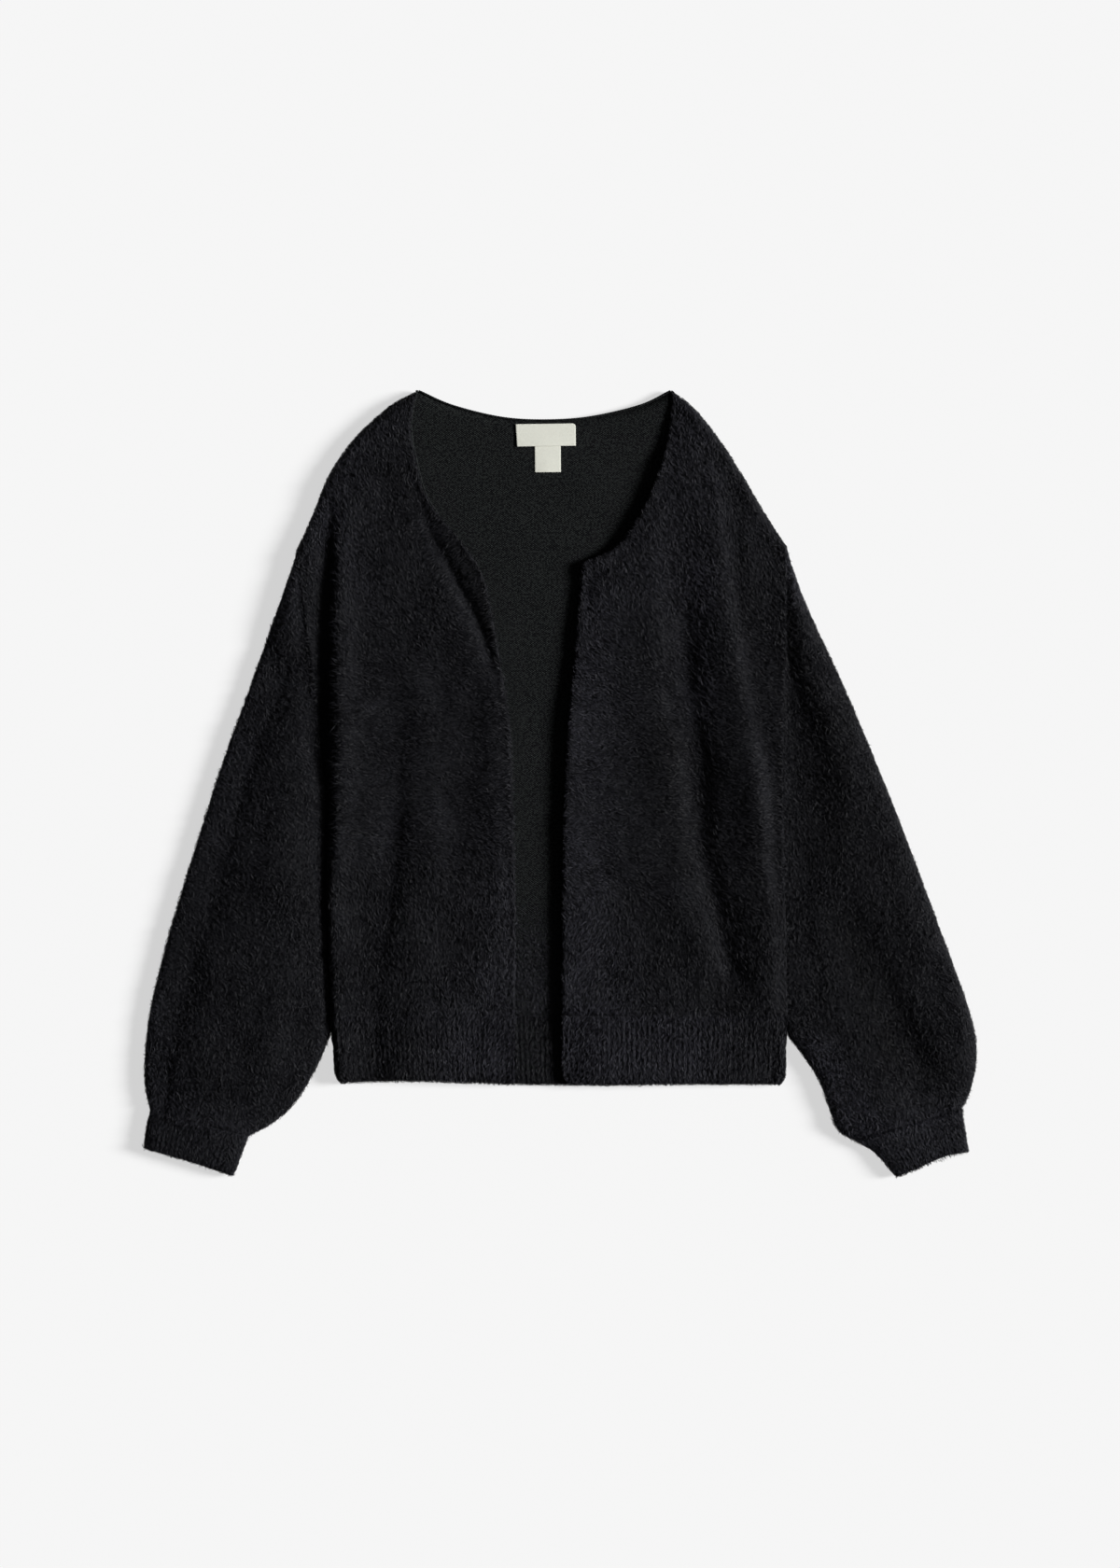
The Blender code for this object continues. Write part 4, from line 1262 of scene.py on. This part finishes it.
def flat_tube(inner, outer, shares, top, side_of, margin_in, margin_out):
    """A flattened tube of knit. top and side_of give its upper side's height and the distance to the nearer
    fold at plan points."""
    width = np.linalg.norm(outer - inner, axis=1)
    loops = []
    for extra in (0.0, TUBE_WALL):
        shrink = np.minimum(1, 0.4 * width / (margin_in + margin_out + 2 * extra))
        low, high = (margin_in + extra) * shrink / width, 1 - (margin_out + extra) * shrink / width
        u = low[:, None] + shares[None, :] * (high - low)[:, None]
        plan = inner[:, None] * (1 - u[..., None]) + outer[:, None] * u[..., None]
        above, near = over(plan, top), over(plan, side_of)
        below = 1.6 + 2.2 * (1 - swell(near, 5.0))
        if extra:
            below = below + GROUND
            above = np.maximum(above - GROUND, below + 0.3)
        else:
            above = np.maximum(above, below + (2 * GROUND + 0.4) * swell(near, 5.0) + 1.2)
        upper = np.concatenate([plan, above[..., None]], axis=2)
        lower = np.concatenate([plan, below[..., None]], axis=2)[:, ::-1]
        loops.append(np.concatenate([upper, lower], axis=1))
    return tube_shell(*loops)


def arm_outline(side):
    """The closed outline of a sleeve and its cuff, past which no pile reaches."""
    far_fold, near_fold = sleeve_folds(side)
    cuff = np.asarray(CUFF[side], float)
    tip = outwards(far_fold[:1], side, -8)
    return np.vstack([tip, far_fold, smooth(cuff[:, :2]), smooth(cuff[:, 2:4])[::-1],
        outwards(near_fold[::-1], side, -8)])


# The sleeves' grain, and where their pile is longer
SLEEVE_CREASE = ((179, 171), (196, 101), (229, 16))
SLEEVE_BASE = {
    "right": ((-280, -86), (-180, -72), (-120, -48), (20, -42), (110, -66), (200, -75)),
    "left": ((-260, -62), (-160, -70), (-80, -84), (-10, -60), (40, -44), (110, -64), (200, -70)),
}
SLEEVE_GRAIN = {
    "right": ((-84, 26, ((-215, -60), (-215, -180))),),
    "left": ((-52, 18, SLEEVE_CREASE),),
}
SLEEVE_TUFTS = {"right": (), "left": (SLEEVE_CREASE,)}
# How far a sleeve's roll beside the body reaches, and its height there
INNER_ROLL = {"right": (13.0, 5.0), "left": (3.0, 9.0)}


def sleeve_folds(side):
    """A sleeve's fold away from the body, and the one beside it."""
    rows = np.asarray(SLEEVE[side], float)
    return smooth(rows[:, :2]), smooth(rows[:, 2:4])


def armhole_of(side):
    """The seam between a sleeve and the body."""
    far_fold, near_fold = sleeve_folds(side)
    return np.array([far_fold[0], near_fold[0]])


def sleeve_margin(side, heights):
    """How far inside its fold line the sleeve stays, beside the body and below it."""
    return drawn_in(-heights, (200, 0), (228, FOLD_INSET)) - (slit(side, heights) - SLIT_GAP)


def beside_body(points, side):
    """Distance from the edge of a sleeve's knit that lies beside the body."""
    away, feet, _ = nearest(points, sleeve_folds(side)[1])
    return away - sleeve_margin(side, feet[:, 1])


def sleeve_height(points, side):
    """Height of a sleeve's upper side, under its pile."""
    far_fold, near_fold = sleeve_folds(side)
    to_seam, seam_feet, _ = nearest(points, armhole_of(side))
    to_fold, fold_feet, _ = nearest(points, near_fold)
    outside = nearest(points, far_fold)[0]
    across = np.minimum(to_seam, to_fold) / np.maximum(np.minimum(to_seam, to_fold) + outside, 1e-6)
    lifts = sorted((row[1], row[4]) for row in SLEEVE[side])
    full = SLEEVE_TOP - PILE_BED + SLEEVE_CROWN * np.sin(np.pi * across)
    full += np.interp(points[:, 1], *zip(*lifts)) + drape(points, SLEEVE_FOLDS[side])
    full += 0.3 * waves(points, 22, 80, 53)
    reach, low = INNER_ROLL[side]
    by_body = drawn_in(-fold_feet[:, 1], (196, 1), (222, 0))
    reach = ROLL + (reach - ROLL) * by_body
    inner = SLEEVE_FOLD + (low - SLEEVE_FOLD) * by_body
    height = inner + (full - inner) * swell(to_fold - sleeve_margin(side, fold_feet[:, 1]), reach)
    height = SLEEVE_FOLD + (height - SLEEVE_FOLD) * swell(outside - FOLD_INSET, ROLL)
    seam = front_height(seam_feet, side)
    return seam + (height - seam) * swell(to_seam, 16)


class CARDIGAN_OT_sleeves(bpy.types.Operator):
    """Lays the two sleeves as flattened tubes"""

    bl_idname = "cardigan.sleeves"
    bl_label = "Sleeves"

    def execute(self, context):
        for side, seed in (("right", 53), ("left", 59)):
            far_fold, near_fold = sleeve_folds(side)
            body_line = np.vstack([far_fold[:1], near_fold])
            inner, outer = sections_of(body_line, far_fold, SLEEVE_ROWS, 0.006, 0.15)
            margin_in = np.where(inner[:, 1] > near_fold[0, 1], -0.5, sleeve_margin(side, inner[:, 1]))
            margin_out = np.full(len(inner), FOLD_INSET)

            def side_of(points):
                return np.minimum(beside_body(points, side), nearest(points, far_fold)[0] - FOLD_INSET)

            def top(points):
                return sleeve_height(points, side)

            shell = flat_tube(inner, outer, bunched(SLEEVE_COLUMNS, 0.5), top, side_of, margin_in, margin_out)
            cloth = add_cloth(f"{side}_sleeve", shell, finish_of("knit_ground"))
            middle = centres(shell)
            # none inside the armhole's seam, and denser where the cuff gathers the sleeve
            at_seam = distance(middle, armhole_of(side)) < 1.0
            weights = shell.top * 1.0 + shell.rim * ~at_seam * 2.4 + shell.under * 0.1
            at_cuff = distance(middle, (inner[-1], outer[-1])) < 6
            weights = weights + shell.top * at_cuff * 0.6
            pile = lay_pile(cloth, shell, weights, base=SLEEVE_BASE[side], regions=SLEEVE_GRAIN[side],
                spread=0.62, contrast=0.16, stray=(1.1, 2.2), border=arm_outline(side),
                tufts=SLEEVE_TUFTS[side], seed=seed, courses=0, seam=(inner[-1], outer[-1]))
            2 * loop_area(inner, outer[::-1])
        return {"FINISHED"}


# How far each cuff's mouth is drawn back, at shares of its width from the fold nearer the body
MOUTH = {
    "right": ((0, 0), (0.5, 0.6), (1, 0)),
    "left": ((0, 0), (0.35, 0.9), (0.6, 2.3), (0.75, 2.9), (0.9, 0.9), (1, 0)),
}


class CARDIGAN_OT_cuffs(bpy.types.Operator):
    """Lays the two ribbed cuffs"""

    bl_idname = "cardigan.cuffs"
    bl_label = "Cuffs"

    def execute(self, context):
        for side, seed in (("right", 61), ("left", 67)):
            rows = np.asarray(CUFF[side], float)
            near_fold, far_fold = smooth(rows[:, 2:4]), smooth(rows[:, :2])
            inner, outer = sections_of(near_fold, far_fold, CUFF_ROWS, 0.0, 0.0)
            width = np.linalg.norm(outer[0] - inner[0])
            ribs = round(width / RIB_PITCH)
            count = ribs * 4 + 1
            even = np.linspace(0, 1, count)
            margin = np.full(len(inner), CUFF_INSET)

            def side_of(points):
                return distance(points, near_fold, far_fold) - CUFF_INSET

            def top(points):
                body, far = nearest(points, near_fold)[0], nearest(points, far_fold)[0]
                across = body / np.maximum(body + far, 1e-6)
                full = CUFF_TOP - PILE_BED + 0.8 * np.sin(np.pi * across) + 0.22 * ribbed(across, ribs)
                away, feet, _ = nearest(points, np.array([inner[0], outer[0]]))
                full += (sleeve_height(feet, side) - full) * np.exp(-((away / 9) ** 2))
                return SLEEVE_FOLD + (full - SLEEVE_FOLD) * swell(side_of(points), ROLL)

            shell = flat_tube(inner, outer, even, top, side_of, margin, margin)
            ahead = (inner[-1] + outer[-1] - inner[-2] - outer[-2]) / 2
            ahead /= np.linalg.norm(ahead)
            last = shell.points.reshape(2, len(inner), 2 * count, 3)[:, -1]
            round_mouth = np.concatenate([even, even[::-1]])
            drawn_back = 0.7 + np.interp(round_mouth, *zip(*MOUTH[side]))
            last[..., :2] += ahead * (0.35 * ribbed(round_mouth, ribs) - drawn_back)[:, None]
            cloth = add_cloth(f"{side}_cuff", shell, finish_of("knit_ground"))
            weights = shell.top * 1.15 + shell.rim * 1.5 + shell.under * 0.2
            centre = centres(shell)
            mouth = ~(shell.top | shell.rim | shell.under) & (distance(centre, (inner[-1], outer[-1])) < 1.6)
            at_sleeve = distance(centre, (inner[0], outer[0])) < 5
            weights = weights + mouth * 1.2 + shell.top * at_sleeve * 0.6
            pile = lay_pile(cloth, shell, weights, base=math.degrees(math.atan2(ahead[1], ahead[0])),
                spread=0.4, wander=0.2, lengths=(2.2, 3.8, 5.6), lean=(4, 24), border=arm_outline(side),
                seed=seed, courses=0, down=0.7, stray=(1.3, 2.7))
            2 * loop_area(inner, outer[::-1])
        return {"FINISHED"}


# ----- Labels -----

# Middle, width and height, turn in degrees, and how far the lower edge stands off the back
LABELS = {
    "size_label": (-10.2, 271.9, 21.6, 22.0, 0.5, 0.1),
    "neck_label": (-11.9, 292.0, 50.0, 18.6, 0.8, 0.3),
}


class CARDIGAN_OT_labels(bpy.types.Operator):
    """Sews in the bare neck label and size tab"""

    bl_idname = "cardigan.labels"
    bl_label = "Labels"

    def execute(self, context):
        for name, (x, y, wide, tall, turn, lift) in LABELS.items():
            bpy.ops.object.select_all(action="DESELECT")
            bpy.ops.mesh.primitive_grid_add(x_subdivisions=int(wide), y_subdivisions=int(tall), size=1)
            label = context.active_object
            label.name = f"{name}_tape"
            bpy.ops.transform.resize(value=(wide * MM, tall * MM, 1))
            bpy.ops.object.transform_apply(location=True, rotation=True, scale=True)
            for corner in label.data.vertices:
                u, v = corner.co.x / (wide * MM), corner.co.y / (tall * MM)
                low = max(0.0, 0.3 - v) / 0.8
                corner.co.z = (lift * low * low + 0.12 * math.sin(5 * u + 2) * low) * MM
                if name == "neck_label":  # its foot slants at one end, and a corner is turned in at the other
                    corner.co.x += 0.9 * MM * max(0.0, -u - 0.4) * 10 * (0.5 - v)
                    pull = max(0.0, u - 0.47) + max(0.0, v - 0.42)
                    if u > 0.47 and v > 0.42:
                        corner.co.x -= 14 * MM * pull * 0.5
                        corner.co.y -= 10 * MM * pull * 0.5
            thick = label.modifiers.new("thick", "SOLIDIFY")
            thick.thickness, thick.offset = 0.35 * MM, 1.0
            bpy.ops.object.modifier_apply(modifier="thick")
            round_off = label.modifiers.new("round_off", "BEVEL")
            round_off.width, round_off.segments, round_off.limit_method = 0.1 * MM, 2, "ANGLE"
            bpy.ops.object.modifier_apply(modifier="round_off")
            label.rotation_euler.z = math.radians(turn)
            height = BACK_INSIDE + (0.65 if name == "neck_label" else 0.3)
            label.location = (x * MM, y * MM, height * MM)
            bpy.ops.object.transform_apply(location=True, rotation=True, scale=True)
            bpy.ops.object.shade_smooth_by_angle(angle=math.radians(40))
            label.data.materials.append(finish_of("label_tape"))
            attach(label, "root")
            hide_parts(name)
        return {"FINISHED"}


# ----- Settings, stage and panel -----


class CARDIGAN_PG_cloth(bpy.types.PropertyGroup):
    """Colours and pile of the knit"""

    pile_colour: bpy.props.FloatVectorProperty(name="Pile", description="Colour of the pile half way along",
        subtype="COLOR", default=(0.0097, 0.00975, 0.0122))
    tip_colour: bpy.props.FloatVectorProperty(name="Tips", description="Colour of the pile's tips",
        subtype="COLOR", default=(0.0133, 0.0133, 0.0168))
    ground_colour: bpy.props.FloatVectorProperty(name="Ground",
        description="Colour of the knit under the pile", subtype="COLOR", default=(0.0070, 0.0070, 0.0087))
    inside_colour: bpy.props.FloatVectorProperty(name="Inside",
        description="Colour of the knit's smooth inside", subtype="COLOR", default=(0.0100, 0.0109, 0.0113))
    label_colour: bpy.props.FloatVectorProperty(name="Labels", description="Colour of the woven labels",
        subtype="COLOR", default=(0.97, 0.975, 0.87))
    blade_width: bpy.props.FloatProperty(name="Blade width", description="Width of a blade of the pile",
        default=0.00056, min=0.0001, unit="LENGTH")
    blades_per_mm2: bpy.props.FloatProperty(name="Pile density",
        description="Blades for each square millimetre of cloth", default=1.12, min=0.01)


class CARDIGAN_PG_stage(bpy.types.PropertyGroup):
    """Floor and light"""

    floor_colour: bpy.props.FloatVectorProperty(name="Floor", description="Colour of the floor",
        subtype="COLOR", default=(0.40, 0.40, 0.40))
    floor_glow: bpy.props.FloatProperty(name="Floor glow",
        description="Light that the backlit floor gives off", default=0.62, min=0.0)
    key_strength: bpy.props.FloatProperty(name="Key light", description="Strength of the soft key light",
        default=5.85, min=0.0)
    key_height: bpy.props.FloatProperty(name="Key height",
        description="Angle of the key light above the floor", default=math.radians(22), subtype="ANGLE")
    key_spread: bpy.props.FloatProperty(name="Key softness",
        description="Width of the key light as seen from the floor", default=math.radians(16),
        subtype="ANGLE")
    fill_strength: bpy.props.FloatProperty(name="Fill light", description="Strength of the even fill light",
        default=0.05, min=0.0)


class CARDIGAN_OT_stage(bpy.types.Operator):
    """Makes the pale floor, the soft light and the camera"""

    bl_idname = "cardigan.stage"
    bl_label = "Stage"

    def execute(self, context):
        s = context.scene.eyelash_stage
        finish, tree, shader = plain_finish("pale_floor", 0.9, 0.0)
        paper = noise(tree, object_place(tree), 3.0)["Fac"]
        tone = colour_ramp(tree, paper, (0, tuple(s.floor_colour)), (1, times(s.floor_colour, 1.004)))
        tree.links.new(tone, shader.inputs["Base Color"])
        shader.inputs["Emission Color"].default_value = (1, 1, 1, 1)
        shader.inputs["Emission Strength"].default_value = s.floor_glow
        bpy.ops.object.select_all(action="DESELECT")
        bpy.ops.mesh.primitive_plane_add(size=FLOOR_SIZE, location=(0, 0, -0.3 * MM))
        floor = context.active_object
        floor.name = "floor"
        bpy.ops.object.transform_apply(location=True, rotation=True, scale=True)
        floor.data.materials.append(finish)

        light = bpy.data.lights.new("key", "SUN")
        light.energy, light.angle = s.key_strength, s.key_spread
        key = bpy.data.objects.new("key", light)
        key.rotation_euler = (0, math.pi / 2 - s.key_height, math.radians(4))
        context.scene.collection.objects.link(key)

        world = bpy.data.worlds.new("studio")
        world.use_nodes = True
        background = world.node_tree.nodes["Background"]
        background.inputs["Color"].default_value = (1, 1, 1, 1)
        background.inputs["Strength"].default_value = s.fill_strength
        context.scene.world = world

        lens = bpy.data.cameras.new("camera")
        lens.sensor_fit, lens.sensor_height = "VERTICAL", SENSOR
        lens.lens = SENSOR * CAMERA_HEIGHT / (PHOTO_HEIGHT * PHOTO_SCALE * MM)
        lens.clip_start, lens.clip_end = 0.1, 30
        camera = bpy.data.objects.new("camera", lens)
        camera.location = (0, 0, CAMERA_HEIGHT + CLOTH_MIDDLE * MM)
        context.scene.collection.objects.link(camera)
        context.scene.camera = camera
        context.scene.view_settings.view_transform = "Standard"
        context.scene.view_settings.look = "None"
        return {"FINISHED"}


class CARDIGAN_PT_panel(bpy.types.Panel):
    """Lists the cardigan's settings and pieces"""

    bl_idname = "CARDIGAN_PT_panel"
    bl_label = "Cardigan"
    bl_space_type = "VIEW_3D"
    bl_region_type = "UI"
    bl_category = "Cardigan"

    def draw(self, context):
        for group in (context.scene.eyelash_cloth, context.scene.eyelash_stage):
            for name in group.__annotations__:
                self.layout.prop(group, name)
        for step in STEPS:
            self.layout.operator(step.bl_idname)


STEPS = (CARDIGAN_OT_back, CARDIGAN_OT_fronts, CARDIGAN_OT_hems, CARDIGAN_OT_sleeves, CARDIGAN_OT_cuffs,
    CARDIGAN_OT_labels, CARDIGAN_OT_stage)
CLASSES = (CARDIGAN_PG_cloth, CARDIGAN_PG_stage, *STEPS, CARDIGAN_PT_panel)


def register():
    for kind in CLASSES:
        bpy.utils.register_class(kind)
    bpy.types.Scene.eyelash_cloth = bpy.props.PointerProperty(type=CARDIGAN_PG_cloth)
    bpy.types.Scene.eyelash_stage = bpy.props.PointerProperty(type=CARDIGAN_PG_stage)


def unregister():
    del bpy.types.Scene.eyelash_stage
    del bpy.types.Scene.eyelash_cloth
    for kind in reversed(CLASSES):
        bpy.utils.unregister_class(kind)


def main():
    register()
    for step in STEPS:
        group, name = step.bl_idname.split(".")
        getattr(getattr(bpy.ops, group), name)()


if __name__ == "__main__":
    main()
